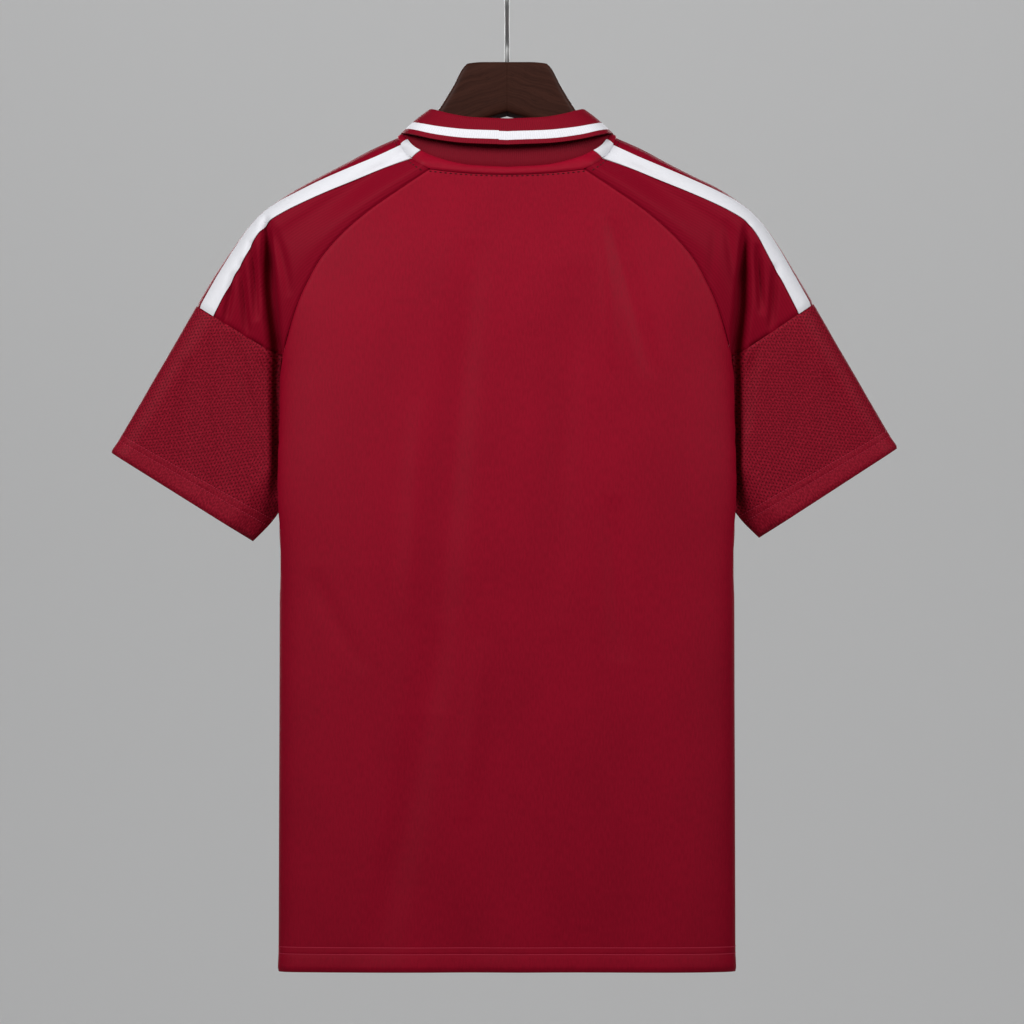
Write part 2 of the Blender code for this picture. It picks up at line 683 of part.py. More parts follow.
remove_scene_objects()
red_knit = finish("red_knit", (0.27, 0.008, 0.023), 0.6)
red_mesh = finish("red_mesh", (0.2, 0.007, 0.017), 0.75)
red_rib = finish("red_rib", (0.24, 0.007, 0.022), 0.7)
white_tape = finish("white_tape", (0.83, 0.83, 0.86), 0.5)
button_red = finish("button_red", (0.2, 0.006, 0.018), 0.35)
brown_wood = finish("brown_wood", (0.037, 0.014, 0.01), 0.4)
steel_wire = finish("steel_wire", (0.6, 0.6, 0.6), 0.25, 1.0)
build_panels(red_knit)
build_sleeves(red_knit, red_mesh, white_tape)
build_neck(red_knit, red_rib, white_tape)
build_buttons(build_placket(red_knit), button_red)
build_hanger(brown_wood)
build_hook(steel_wire)
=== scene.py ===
# %% [markdown]
# # A training polo shirt on its hanger
#
# A shirt like this is cut from flat knitted cloth: a front, a back, raglan
# sleeves in two parts, a knitted collar and some tape. Sewn together and hung
# up, each flat cut takes a curved form. This lesson builds the cut pieces one
# by one, on the simple solids that a technical model of the shirt gives.
#
# The technical model comes in first. It is never moved, and its size is the
# size that the finished shirt has to keep. Metres, +Z up. The wearer's back
# faces -Y, and the origin is where the hook hangs on a rail.

# %% Load the technical model
import math

import bpy
import numpy as np
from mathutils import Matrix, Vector


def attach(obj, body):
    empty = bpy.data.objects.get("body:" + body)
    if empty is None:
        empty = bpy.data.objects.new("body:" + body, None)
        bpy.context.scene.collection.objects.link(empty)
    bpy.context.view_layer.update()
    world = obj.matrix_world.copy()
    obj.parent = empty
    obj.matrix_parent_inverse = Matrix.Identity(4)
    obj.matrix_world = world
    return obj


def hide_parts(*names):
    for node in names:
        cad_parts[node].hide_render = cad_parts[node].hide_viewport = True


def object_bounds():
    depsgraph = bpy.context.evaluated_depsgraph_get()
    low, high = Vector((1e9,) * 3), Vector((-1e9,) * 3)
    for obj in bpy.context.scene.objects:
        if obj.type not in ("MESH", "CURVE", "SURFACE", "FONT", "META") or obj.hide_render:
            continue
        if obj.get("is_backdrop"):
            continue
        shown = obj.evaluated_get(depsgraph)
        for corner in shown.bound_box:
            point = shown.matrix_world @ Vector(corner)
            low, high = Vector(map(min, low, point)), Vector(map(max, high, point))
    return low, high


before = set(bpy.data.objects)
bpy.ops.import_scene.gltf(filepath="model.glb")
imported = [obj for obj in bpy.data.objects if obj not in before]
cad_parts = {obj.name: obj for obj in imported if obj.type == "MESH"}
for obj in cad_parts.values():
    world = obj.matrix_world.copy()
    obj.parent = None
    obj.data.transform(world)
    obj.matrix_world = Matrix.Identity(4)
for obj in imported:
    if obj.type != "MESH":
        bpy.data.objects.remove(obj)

MM = 0.001
cad_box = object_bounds()
print("box of the technical model:", [tuple(round(v, 4) for v in corner) for corner in cad_box])

# %% [markdown]
# ## Operators and what is selected
#
# An operator works on everything that is selected, and the model that was
# just loaded still is. Each step below starts from an empty selection.


# %% Helpers for operators
def select(*pieces):
    """Selects only these pieces and makes the first one active."""
    if bpy.context.mode != "OBJECT":
        bpy.ops.object.mode_set(mode="OBJECT")
    bpy.ops.object.select_all(action="DESELECT")
    for piece in pieces:
        piece.select_set(True)
    if pieces:
        bpy.context.view_layer.objects.active = pieces[0]


def apply_modifiers(piece):
    select(piece)
    for modifier in list(piece.modifiers):
        bpy.ops.object.modifier_apply(modifier=modifier.name)


def apply_place(piece):
    """Moves a piece's place and turn into its mesh, so its object is at the origin."""
    select(piece)
    bpy.ops.object.transform_apply(location=True, rotation=True, scale=True)


def named(name):
    """The piece that an operator has just made, with its name set."""
    made = bpy.context.active_object
    made.name = made.data.name = name
    return made


def edit_top(piece):
    """Goes into edit mode with only the faces selected that look up."""
    bpy.ops.object.mode_set(mode="EDIT")
    bpy.ops.mesh.select_all(action="DESELECT")
    bpy.ops.object.mode_set(mode="OBJECT")
    for face in piece.data.polygons:
        face.select = face.normal.z > 0.9
    bpy.ops.object.mode_set(mode="EDIT")


def round_edges(piece, width, segments, degrees=30):
    """Rounds every edge that is sharper than an angle, and applies all modifiers."""
    rounded = piece.modifiers.new("rounded", "BEVEL")
    rounded.width = width
    rounded.segments = segments
    rounded.limit_method = "ANGLE"
    rounded.angle_limit = math.radians(degrees)
    apply_modifiers(piece)


def shade_smooth(degrees):
    bpy.ops.object.shade_smooth_by_angle(angle=math.radians(degrees))


# %% [markdown]
# ## Where it is seen from
#
# The shirt hangs flat, so it is looked at square on, from far away. A long
# lens keeps its sides parallel. The width of the view is set at a plane
# between the hanger and the cloth, and the lens follows from the distance.

# %% The camera
VIEW_WIDTH = 921.6 * MM
VIEW_CENTRE = Vector((4.5, 0, -480)) * MM
VIEW_PLANE = -18 * MM
VIEW_DISTANCE = 6.0
SENSOR = 36  # the camera's unit here is the millimetre

select()
bpy.ops.object.camera_add(
    location=VIEW_CENTRE - Vector((0, VIEW_DISTANCE, 0)), rotation=(math.pi / 2, 0, 0)
)
camera = bpy.context.object
camera.data.sensor_width = SENSOR
camera.data.lens = SENSOR * (VIEW_DISTANCE + VIEW_PLANE) / VIEW_WIDTH
bpy.context.scene.camera = camera
bpy.context.scene.view_settings.view_transform = "Standard"
print("lens:", round(camera.data.lens), "mm")

# %% [markdown]
# ## Light and floor
#
# Knit shows its folds best in soft light from two sides, above the eye. The
# deepest folds stay dark, because no light comes straight from the front. Two
# more light the other side, and one lights the backdrop. The floor is one
# round sheet whose edge curves up into a wall, so there is no line behind the
# shirt from any side.

# %% Softboxes
SOFTBOXES = [
    # name, place, what it is aimed at, size, power, spread in degrees
    ("softbox_left", (-1.45, -1.62, 0.9), (0, 0, -0.06), 1.1, 12.9, 89),
    ("softbox_right", (1.52, -1.62, 0.9), (0, 0, -0.06), 1.1, 9.9, 89),
    ("softbox_behind_left", (-0.9, 2.5, 0.2), (0, 0, -0.3), 1.2, 14, 110),
    ("softbox_behind_right", (1.0, 2.6, 0.3), (0, 0, -0.3), 1.2, 10, 110),
    ("softbox_backdrop", (0, 5.5, 2.6), (0, 11, -0.2), 2.0, 150, 180),
]
SKY = (0.93, 0.96, 1, 1)
SKY_STRENGTH = 0.08

for name, place, target, size, power, spread in SOFTBOXES:
    select()
    bpy.ops.object.light_add(type="AREA", location=place)
    light = named(name)
    light.data.shape = "SQUARE"
    light.data.size = size
    light.data.energy = power
    light.data.spread = math.radians(spread)
    aim = Vector(target) - Vector(place)
    light.rotation_euler = aim.to_track_quat("-Z", "Y").to_euler()

world = bpy.data.worlds.new("studio")
world.use_nodes = True
sky = world.node_tree.nodes["Background"].inputs
sky["Color"].default_value = SKY
sky["Strength"].default_value = SKY_STRENGTH
bpy.context.scene.world = world

# %% The floor, curved up at its edge
FLOOR_RADIUS = 11
FLOOR_DROP = 2.3
WALL_HEIGHT = 7
COVE_RADIUS = 2.0

select()
bpy.ops.mesh.primitive_cylinder_add(
    vertices=96,
    radius=FLOOR_RADIUS,
    depth=WALL_HEIGHT,
    location=(0, 0, WALL_HEIGHT / 2 - FLOOR_DROP),
)
floor = named("studio_floor")
apply_place(floor)
edit_top(floor)
bpy.ops.mesh.delete(type="FACE")
bpy.ops.mesh.select_all(action="SELECT")
bpy.ops.mesh.flip_normals()
bpy.ops.object.mode_set(mode="OBJECT")
round_edges(floor, COVE_RADIUS, 16, 60)
shade_smooth(40)
floor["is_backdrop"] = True
print("floor:", len(floor.data.polygons), "faces")

# %% [markdown]
# ## Finishes
#
# Every finish is worked out by nodes. Each cloth piece carries a UV map named
# "cut", which is its flat cut in metres, so one stitch of knit is as large as
# on real cloth and follows the piece round its folds. A value that is the same
# all over a piece is set on the shader itself.

# %% A kit for node trees
class Finish:
    """A material in the making. Each call adds a node and gives its output."""

    def __init__(self, name, values):
        self.material = bpy.data.materials.new(name)
        self.material.use_nodes = True
        self.tree = self.material.node_tree
        self.shader = self.tree.nodes["Principled BSDF"]
        for socket, value in values.items():
            self.shader.inputs[socket].default_value = value

    def feed(self, socket, value):
        if isinstance(value, bpy.types.NodeSocket):
            self.tree.links.new(value, socket)
        elif value is not None:
            socket.default_value = value

    def node(self, kind, *inputs, out=0, **settings):
        made = self.tree.nodes.new("ShaderNode" + kind)
        for setting, value in settings.items():
            setattr(made, setting, value)
        for socket, value in zip(made.inputs, inputs):
            self.feed(socket, value)
        return made.outputs[out]

    def math(self, operation, *inputs):
        return self.node("Math", *inputs, operation=operation)

    def between(self, value, low, high):
        """Rises smoothly from 0 to 1 as the value goes from low to high."""
        return self.node("MapRange", value, low, high, interpolation_type="SMOOTHSTEP")

    def ripple(self, place, pitch):
        """A wave between 0 and 1 with one crest in each pitch."""
        turn = self.math("MULTIPLY", place, 2 * math.pi / pitch)
        return self.math("MULTIPLY_ADD", self.math("SINE", turn), 0.5, 0.5)

    def place(self):
        """The place in the piece's own axes, in metres."""
        return self.node("TexCoord", out=3)

    def cut(self):
        """The two directions of the flat cut, in metres."""
        flat = self.node("UVMap", uv_map="cut")
        return [self.node("SeparateXYZ", flat, out=k) for k in (0, 1)]

    def grain(self, along, across, length, width, detail=2.0):
        """Noise whose patches are length long and width wide."""
        stretched = self.node(
            "CombineXYZ",
            self.math("DIVIDE", along, length),
            self.math("DIVIDE", across, width),
        )
        return self.node("TexNoise", stretched, None, 1.0, detail)

    def mix(self, share, first, second):
        made = self.tree.nodes.new("ShaderNodeMix")
        made.data_type = "RGBA"
        for socket, value in ((0, share), (6, first), (7, second)):
            self.feed(made.inputs[socket], value)
        return made.outputs[2]

    def colour(self, value):
        self.feed(self.shader.inputs["Base Color"], value)

    def roughness(self, value, low, high):
        spread = self.math("MULTIPLY_ADD", value, high - low, low)
        self.feed(self.shader.inputs["Roughness"], spread)

    def bump(self, height, depth):
        made = self.tree.nodes.new("ShaderNodeBump")
        made.inputs["Distance"].default_value = depth
        self.feed(made.inputs["Height"], height)
        self.feed(self.shader.inputs["Normal"], made.outputs[0])


def shade(colour, share):
    """A colour made lighter or darker, as a node wants it."""
    return (*(channel * share for channel in colour), 1)


# %% [markdown]
# ### Knits
#
# The body is a fine satin interlock: loops so small that they only show as a
# grain, with a soft sheen. The shoulders are the same yarn knitted with fine
# ribs that run along the sleeve, so they look duller. The lower sleeves are an
# airy knit with small holes in offset columns. All three share one dye.

# %% Satin knit of the body
DYE = (0.268, 0.0016, 0.0155)
WALE = 0.7 * MM
COURSE = 0.55 * MM
KNIT_SHEEN = {"Sheen Weight": 0.02, "Sheen Roughness": 0.4, "Sheen Tint": (1, 0.3, 0.4, 1)}


def satin_knit():
    made = Finish("satin_knit", {"Specular IOR Level": 0.1, **KNIT_SHEEN})
    u, v = made.cut()
    fibre = made.grain(u, v, 1.5 * MM, 7 * MM, 3)
    cloud = made.grain(u, v, 60 * MM, 90 * MM)
    tone = made.math("MULTIPLY_ADD", fibre, 0.65, made.math("MULTIPLY", cloud, 0.35))
    made.colour(made.mix(made.between(tone, 0.3, 0.7), shade(DYE, 0.9), shade(DYE, 1.1)))
    loops = made.math("MULTIPLY", made.ripple(u, WALE), made.ripple(v, COURSE))
    made.roughness(fibre, 0.46, 0.62)
    made.bump(made.math("MULTIPLY_ADD", fibre, 2.0, loops), 0.05 * MM)
    return made.material


# %% Ribbed knit of the shoulders
RIB_PITCH = 2.6 * MM
RIB_TINT = (0.222, 0.0016, 0.0145)  # of the ribs' crests


def shoulder_knit():
    made = Finish("shoulder_knit", {"Specular IOR Level": 0.05, **KNIT_SHEEN})
    u, v = made.cut()
    fibre = made.grain(u, v, 5 * MM, 1.3 * MM, 3)
    ribs = made.ripple(made.math("MULTIPLY_ADD", fibre, 0.5 * MM, v), RIB_PITCH)
    tone = made.math("MULTIPLY_ADD", ribs, 0.6, made.math("MULTIPLY", fibre, 0.4))
    made.colour(made.mix(made.between(tone, 0.1, 1.0), shade(DYE, 0.7), shade(RIB_TINT, 1)))
    made.roughness(fibre, 0.52, 0.68)
    made.bump(made.math("MULTIPLY_ADD", fibre, 0.5, ribs), 0.035 * MM)
    return made.material


# %% Open knit of the lower sleeves
HEM_LINES = (16.3 * MM, 22.4 * MM)  # the twin needle's lines, up from the edge
HOLE_PITCH = 3.6 * MM  # along the sleeve
HOLE_COLUMN = 2.5 * MM  # from one column of holes to the next
HOLE_SIZE = (0.9 * MM, 0.7 * MM)
FLECK = (0.29, 0.0068, 0.022)  # of the fibres that catch the light
HEM_YARN = 0.72  # how far the cloth behind fills the holes where the hem is doubled


def open_knit():
    """The open knit. Its cut is measured from the cuff, where the hem is doubled."""
    made = Finish("open_knit", {"Specular IOR Level": 0.1, **KNIT_SHEEN})
    u, v = made.cut()
    wander = made.grain(u, v, 9 * MM, 9 * MM)
    column = made.math("DIVIDE", made.math("MULTIPLY_ADD", wander, 1.2 * MM, v), HOLE_COLUMN)
    odd = made.math("FLOORED_MODULO", made.math("FLOOR", column), 2)
    row = made.math("MULTIPLY_ADD", odd, 0.5, made.math("DIVIDE", u, HOLE_PITCH))
    offsets = []
    for place, pitch, size in zip((row, column), (HOLE_PITCH, HOLE_COLUMN), HOLE_SIZE):
        middle = made.math("SUBTRACT", made.math("FRACT", place), 0.5)
        offsets.append(made.math("MULTIPLY", middle, pitch / size))
    squares = [made.math("MULTIPLY", offset, offset) for offset in offsets]
    fibre = made.grain(u, v, 2.4 * MM, 1.2 * MM, 3)
    size = made.math("MULTIPLY_ADD", fibre, -1.6, made.math("ADD", *squares))
    yarn = made.between(size, -0.6, 0.6)
    doubled = made.between(u, HEM_LINES[1] + 1 * MM, HEM_LINES[1])
    yarn = made.math("MAXIMUM", yarn, made.math("MULTIPLY", doubled, HEM_YARN))
    light = made.mix(made.between(fibre, 0.36, 0.66), shade(DYE, 0.62), shade(FLECK, 1))
    # The holes are painted dark: painted shade of the sleeve's inside, seen through them.
    made.colour(made.mix(yarn, shade(DYE, 0.3), light))
    made.roughness(fibre, 0.55, 0.72)
    made.bump(made.math("MULTIPLY_ADD", fibre, 0.5, yarn), 0.16 * MM)
    return made.material


# %% [markdown]
# ### Collar, tape and thread
#
# The collar is flat-knitted in one piece, with ribs across it and a white
# stripe that is knitted in, at the same distance from its free edge all round.
# The shoulder tape is woven and bright white. Sewing thread is painted a shade
# lighter than the cloth: painted highlight, because it lies on top and catches
# the light. Only the thread at the neck is dark; its stitches are large, so they
# also make the dark band of painted shade under the binding's roll.

# %% Flat knit of the collar, tape and thread
STRIPE = (5.0 * MM, 13.2 * MM)  # its two edges, from the collar's free edge
STRIPE_SOFT = 0.25 * MM  # how far each edge of it blurs
JOIN_STEP = 0.6 * MM  # how far the stripe steps up where its yarn was joined
STAND_PAINTED_SHADE = (34 * MM, 36 * MM)  # where the painted shade on the stand, under the leaf, starts, and is full
WHITE = (0.76, 0.76, 0.8)
# The dark neck thread is partly painted shade: with its large stitches it makes the dark band
# under the binding's roll.
THREADS = {"red": (0.64, 0.045, 0.1), "cuff": (0.4, 0.02, 0.05), "dark": (0.06, 0.001, 0.004)}


def collar_knit(jog):
    """The collar's knit. At this length along it the stripe's yarn was joined."""
    made = Finish("collar_knit", {"Specular IOR Level": 0.1, **KNIT_SHEEN})
    u, v = made.cut()
    fibre = made.grain(u, v, 1.2 * MM, 3 * MM, 3)
    ribs = made.ripple(u, 1.9 * MM)
    place = made.math("MULTIPLY_ADD", fibre, 0.3 * MM, v)
    joined = made.between(u, jog - 0.4 * MM, jog + 0.4 * MM)
    place = made.math("MULTIPLY_ADD", joined, JOIN_STEP, place)
    beyond = [made.between(place, edge - STRIPE_SOFT, edge + STRIPE_SOFT) for edge in STRIPE]
    stripe = made.math("SUBTRACT", *beyond)
    tone = made.between(made.math("MULTIPLY_ADD", ribs, 0.4, fibre), 0.3, 1.1)
    red = made.mix(tone, shade(DYE, 0.62), shade(DYE, 0.8))
    # The stand is painted darker than the leaf: painted shade of the leaf that lies over it.
    stand = made.mix(tone, shade(DYE, 0.53), shade(DYE, 0.62))
    red = made.mix(made.between(v, *STAND_PAINTED_SHADE), red, stand)
    white = made.mix(tone, shade(WHITE, 0.93), shade(WHITE, 1.05))
    made.colour(made.mix(stripe, red, white))
    made.roughness(fibre, 0.6, 0.75)
    made.bump(made.math("MULTIPLY_ADD", fibre, 0.5, ribs), 0.16 * MM)
    return made.material


def white_tape():
    made = Finish("white_tape", {"Specular IOR Level": 0.4})
    u, v = made.cut()
    twill = made.ripple(made.math("MULTIPLY_ADD", v, 0.6, u), 1.5 * MM)
    fibre = made.grain(u, v, 1.2 * MM, 6 * MM, 3)
    tone = made.between(made.math("MULTIPLY_ADD", twill, 0.4, fibre), 0.3, 1.1)
    made.colour(made.mix(tone, shade(WHITE, 0.89), shade(WHITE, 0.97)))
    made.roughness(fibre, 0.42, 0.6)
    made.bump(made.math("MULTIPLY_ADD", fibre, 0.4, twill), 0.06 * MM)
    return made.material


def sewing_thread(name, colour):
    made = Finish(name, {"Specular IOR Level": 0.15, "Roughness": 0.5})
    fibre = made.node("TexNoise", made.place(), None, 1 / (0.4 * MM), 2.0)
    made.colour(made.mix(fibre, shade(colour, 0.75), shade(colour, 1.25)))
    made.bump(fibre, 0.08 * MM)
    return made.material


# %% [markdown]
# ### Wood, wire and buttons
#
# The hanger is stained hardwood under a satin varnish. Its grain runs along
# its arms, and the stain is a little darker in the pores. The hook is bright
# drawn wire, and the buttons are cast resin with a faint cloud in it.

# %% Hard finishes
STAIN = (0.036, 0.0125, 0.0082)
BARE_WIRE = ((0.42, 0.42, 0.42, 1), (0.66, 0.66, 0.65, 1))


def dark_wood():
    values = {"Specular IOR Level": 0.07, "Coat Weight": 0.02, "Coat Roughness": 0.35}
    made = Finish("dark_wood", values)
    x, z = (made.node("SeparateXYZ", made.place(), out=k) for k in (0, 2))
    warp = made.grain(x, z, 60 * MM, 30 * MM)
    level = made.math("MULTIPLY_ADD", warp, 16 * MM, z)
    level = made.math("MULTIPLY_ADD", made.math("ABSOLUTE", x), 0.35, level)
    growth = made.grain(x, level, 90 * MM, 2.6 * MM, 4)
    pores = made.grain(x, level, 7 * MM, 0.5 * MM, 2)
    pores = made.between(pores, 0.55, 0.75)
    wood = made.mix(made.between(growth, 0.3, 0.7), shade(STAIN, 0.82), shade(STAIN, 1.22))
    made.colour(made.mix(pores, wood, shade(STAIN, 0.5)))
    made.roughness(growth, 0.42, 0.56)
    made.bump(made.math("MULTIPLY", pores, -1), 0.04 * MM)
    return made.material


def bright_wire():
    made = Finish("bright_wire", {"Metallic": 1.0})
    x, z = (made.node("SeparateXYZ", made.place(), out=k) for k in (0, 2))
    drawn = made.grain(z, x, 30 * MM, 0.4 * MM, 3)
    made.colour(made.mix(drawn, *BARE_WIRE))
    made.roughness(drawn, 0.3, 0.44)
    return made.material


def button_resin():
    values = {"Coat Weight": 0.5, "Coat Roughness": 0.12, "Specular IOR Level": 0.5}
    made = Finish("button_resin", values)
    cloud = made.node("TexNoise", made.place(), None, 1 / (3 * MM), 3.0)
    made.colour(made.mix(made.between(cloud, 0.3, 0.7), shade(DYE, 0.7), shade(DYE, 1.0)))
    made.roughness(cloud, 0.28, 0.4)
    return made.material


body_finish = satin_knit()
shoulder_finish = shoulder_knit()
sleeve_finish = open_knit()
tape_finish = white_tape()
threads = {name: sewing_thread(f"{name}_thread", dye) for name, dye in THREADS.items()}
wood_finish = dark_wood()
wire_finish = bright_wire()
button_finish = button_resin()
print(len(bpy.data.materials), "materials, the loaded ones among them")

# %% [markdown]
# ## The form of the shirt
#
# Four short tables hold the form, near the technical model's. BODY has a row
# for each height of the body tube. RIBS and CUFF_RIBS have a row for each rib
# of a sleeve, from the ridge of the shoulder to the seam. NECK has a row for
# each station round the neck, from the middle of the back to the middle of the
# front. A drop is a height below the origin.

# %% Tables of the form, in millimetres
def columns(names, *rows):
    """A short table as one array, in metres, for each named column."""
    return dict(zip(names.split(), np.array(rows, float).T * MM))


BODY = columns(
    "drop edge back front tuck",
    (165, 212, 33, 40, 0),
    (200, 212, 34, 41, 0),
    (226, 212, 35, 42, 0),
    (260, 211, 37, 44, 0),
    (300, 209, 38.5, 45, 0),
    (341, 206.5, 39, 45, 1),
    (385, 206.5, 39.5, 45, 10),
    (449, 206.5, 40, 44, 22.9),
    (470, 206.5, 40, 44, 21),
    (500, 206, 40, 43.5, 12),
    (560, 205.5, 39, 42, 0),
    (690, 205.9, 37, 39, 0),
    (895, 206.6, 34, 35, 0),
)
RIBS = columns(
    "ridge_x ridge_drop back_x back_drop front_x front_drop "
    "crown tape_from tape_to back_dip front_dip",
    (98, 142, 68, 171.2, 66, 196, 13, 7.5, 23.3, 5, 30),
    (121.5, 152.6, 99.5, 192, 92, 212, 17, 8.5, 20.9, 2, 23),
    (145, 165.6, 124, 209, 116, 226, 19, 5.9, 17.4, 1, 19),
    (168.3, 177.9, 145, 226.5, 137, 240, 21, 4.2, 15, 0, 16),
    (190, 189.7, 160, 242, 154, 252.5, 22.5, 3.2, 13.2, 0, 13.5),
    (208, 199.9, 170, 255, 166, 264, 23, 1.8, 11.9, 0, 12),
    (222, 209.8, 178.5, 270, 176, 277, 23, 1.7, 10.9, 0, 10),
    (232, 222.3, 187, 287.5, 185.5, 293, 22, 1.6, 11.2, 0, 7),
    (243.5, 240.3, 193.5, 305.5, 192.5, 309, 20, 1.9, 12.8, 0, 5),
    (259, 265.5, 199, 324.5, 198.5, 326, 19, 2.5, 13.6, 0, 3),
    (275.5, 294.3, 203.4, 341, 203.4, 341, 18, 3, 14.5, 0, 2),
)
CUFF_RIBS = columns(
    "ridge_x ridge_drop inner_x inner_drop inner_depth crown",
    (275.5, 294.3, 203.4, 341, 0, 18),
    (285.5, 311, 203, 362, 9.5, 18),
    (296, 329, 201, 385, 8, 17.5),
    (306.5, 346.5, 197, 408, 6, 17),
    (317, 364, 193, 430, 3.5, 16.5),
    (327, 381, 189, 449, 0.6, 16),
    (336, 396, 198.5, 468, 0.6, 15.5),
    (345, 411, 212, 488, 0.6, 15),
    (353.7, 425.4, 229.5, 506, 0.6, 15),
)
NECK = columns(
    "seam_x seam_y seam_drop fold_x fold_y fold_drop edge_x edge_y edge_drop",
    (0, -31.5, 169.7, 0, -26, 127, 0, -37, 150.5),
    (32, -31, 168, 30, -25, 125.8, 36, -36.2, 149),
    (60.8, -27.5, 161.6, 52.5, -19.5, 122, 67, -31.5, 144.7),
    (76.5, -20.5, 154.5, 61.5, -13, 119.3, 82, -25, 141.3),
    (88.3, -10, 144.9, 66.5, -4.5, 118, 92.3, -11, 138.6),
    (92.7, 1.5, 139.7, 67.6, 4, 118.5, 94.8, 3, 138),
    (90, 12, 147.5, 66.5, 12, 123, 96.2, 15, 147),
    (77, 25, 168, 57, 26, 140, 93, 38, 169),
    (59, 33, 190, 43, 36, 161, 84, 51, 198),
    (32, 38.5, 210, 24, 43.5, 183, 69, 53, 225),
    (0, 40.5, 218, 4.5, 47, 203, 48, 50, 252),
)
SIDES = {"right": 1, "left": -1}
BACK, FRONT = -1, 1
FACES = {BACK: "back", FRONT: "front"}
# How much lower each cuff hangs, at its ridge and at its inner fold.
SLEEVE_HANG = {"right": (-3 * MM, -3 * MM), "left": (3 * MM, 0.6 * MM)}
# How much lower the join of upper and lower sleeve lies at the ridge.
JOIN_HANG = {"right": -1.4 * MM, "left": 1.8 * MM}
# How much fuller a sleeve is at its ridge, for each row of RIBS and at the cuff.
FULLER = columns(
    "right left",
    (0, 0),
    (0.2, 0.2),
    (0.6, 0.8),
    (1.1, 1.2),
    (2.2, 1.3),
    (1, 0.4),
    (0.2, 0.1),
    (1.3, 1.4),
    (2.4, 2.8),
    (2.3, 4.2),
    (2.8, 4.8),
    (0.9, 3.1),
)
FULL_REACH = 25 * MM
SLEEVE_LEAN = (0.511, 0.86)  # outwards and down, along the sleeve
UNDERARM = 5  # the row of CUFF_RIBS at the underarm
BODY_DROPS = np.array([470, 495, 525, 560, 630, 710, 800]) * MM
HEM_DROP = 893.5 * MM  # of the hem at the centre line
HEM_LOW = 1.3 * MM  # how much lower it hangs at the side seams
HANGER_CURVE = 12 * MM  # how far the ends of the hanger bend to the front
HANGER_HALF_SPAN = 220 * MM

# %% [markdown]
# ### From tables to curves
#
# Between two rows of a table the form is a smooth curve that never swings past
# either. The body is a flattened tube, whose section is a superellipse. A rib
# of the sleeve leaves the ridge in a quarter circle, the way cloth rounds over
# a hanger, and eases down to its seam.

# %% Curves
def smooth(at, xs, ys):
    """Monotone cubic interpolation, which passes each (x, y) with no overshoot."""
    xs, ys = np.asarray(xs, float), np.asarray(ys, float)
    steps = np.diff(xs)
    slopes = (np.diff(ys, axis=0).T / steps).T
    both = slopes[:-1] * slopes[1:]
    mean = np.where(both > 0, slopes[:-1] + slopes[1:], 1)
    middle = np.where(both > 0, 2 * both / mean, 0)
    tangents = np.concatenate([slopes[:1], middle, slopes[-1:]])
    at = np.clip(at, xs[0], xs[-1])
    i = np.clip(np.searchsorted(xs, at) - 1, 0, len(xs) - 2)
    t, step = (at - xs[i]) / steps[i], steps[i]
    if ys.ndim > 1:
        t, step = np.expand_dims(t, -1), np.expand_dims(step, -1)
    return (
        (1 + 2 * t) * (1 - t) ** 2 * ys[i]
        + t * (1 - t) ** 2 * step * tangents[i]
        + t**2 * (3 - 2 * t) * ys[i + 1]
        + t**2 * (t - 1) * step * tangents[i + 1]
    )


def lengths(path):
    """Distance along a path to each of its points."""
    steps = np.linalg.norm(np.diff(path, axis=0), axis=1)
    return np.concatenate([[0], np.cumsum(steps)])


def row_distances(grid):
    """Mean distance along a grid to each of its rows, and along each row to its points."""
    steps = np.linalg.norm(np.diff(grid, axis=0), axis=2).mean(axis=1)
    return np.concatenate([[0], np.cumsum(steps)]), np.array([lengths(row) for row in grid])


def points_at(path, distances):
    """The points of a path at these distances along it."""
    along = lengths(path)
    return np.stack([np.interp(distances, along, path[:, k]) for k in range(3)], axis=1)


def forward(x):
    """How far the hanger's curve carries the middle of the garment to the front."""
    return HANGER_CURVE * np.minimum(np.abs(x) / HANGER_HALF_SPAN, 1) ** 2


def quarter_round(distance, reach):
    """Rises from 0 to 1 as a quarter circle does, over the reach."""
    return np.sqrt(1 - (1 - np.clip(distance / reach, 0, 1)) ** 2)


# %% The body's section
SQUARENESS = 3.5  # 2 is an ellipse, more is flatter
GROOVE = 12 * MM  # half width of the tuck under the arm
TUCK_SPREAD = 0.3  # share of the tuck that pushes its two folds outwards
RING_STEPS = 900


def ring(drop, face):
    """Width and depth of the body from the centre line to the side, at one height."""
    turn = np.linspace(math.pi / 2, 0, RING_STEPS)
    tuck = smooth(drop, BODY["drop"], BODY["tuck"])
    edge = smooth(drop, BODY["drop"], BODY["edge"]) + TUCK_SPREAD * tuck
    depth = smooth(drop, BODY["drop"], BODY[FACES[face]])
    power = 2 / SQUARENESS
    wide = edge * np.clip(np.cos(turn), 0, 1) ** power
    deep = depth * np.clip(np.sin(turn), 0, 1) ** power
    return wide - tuck * np.exp(-((deep / GROOVE) ** 2)), deep


def half_row(drop, dip, face, seam_x=None, seam_depth=0.0):
    """A row of a panel from the centre line to its seam, at one height."""
    wide, deep = ring(drop, face)
    kept = wide < seam_x if seam_x else deep > seam_depth
    last = int(np.argmin(kept)) if not kept.all() else len(kept) - 1
    measure, end = (wide, seam_x) if seam_x else (deep, seam_depth)
    share = (end - measure[last - 1]) / (measure[last] - measure[last - 1])
    wide, deep = (
        np.append(v[:last], v[last - 1] + share * (v[last] - v[last - 1]))
        for v in (wide, deep)
    )
    down = drop + dip * (1 - (wide / wide[-1]) ** 2)
    return np.stack([wide, forward(wide) + face * deep, -down], axis=1)


# %% The ribs of a sleeve
INNER_REACH = 30 * MM  # how far from its inner fold a sleeve is full
INNER_POWER = 1.4  # 1 is a sharp inner fold, more is rounder
NECK_BOW = 5 * MM  # how far the neckline bows out over the shoulder
SHOULDER_EASE = 0.8  # share of a rib over which its depth eases to the seam's


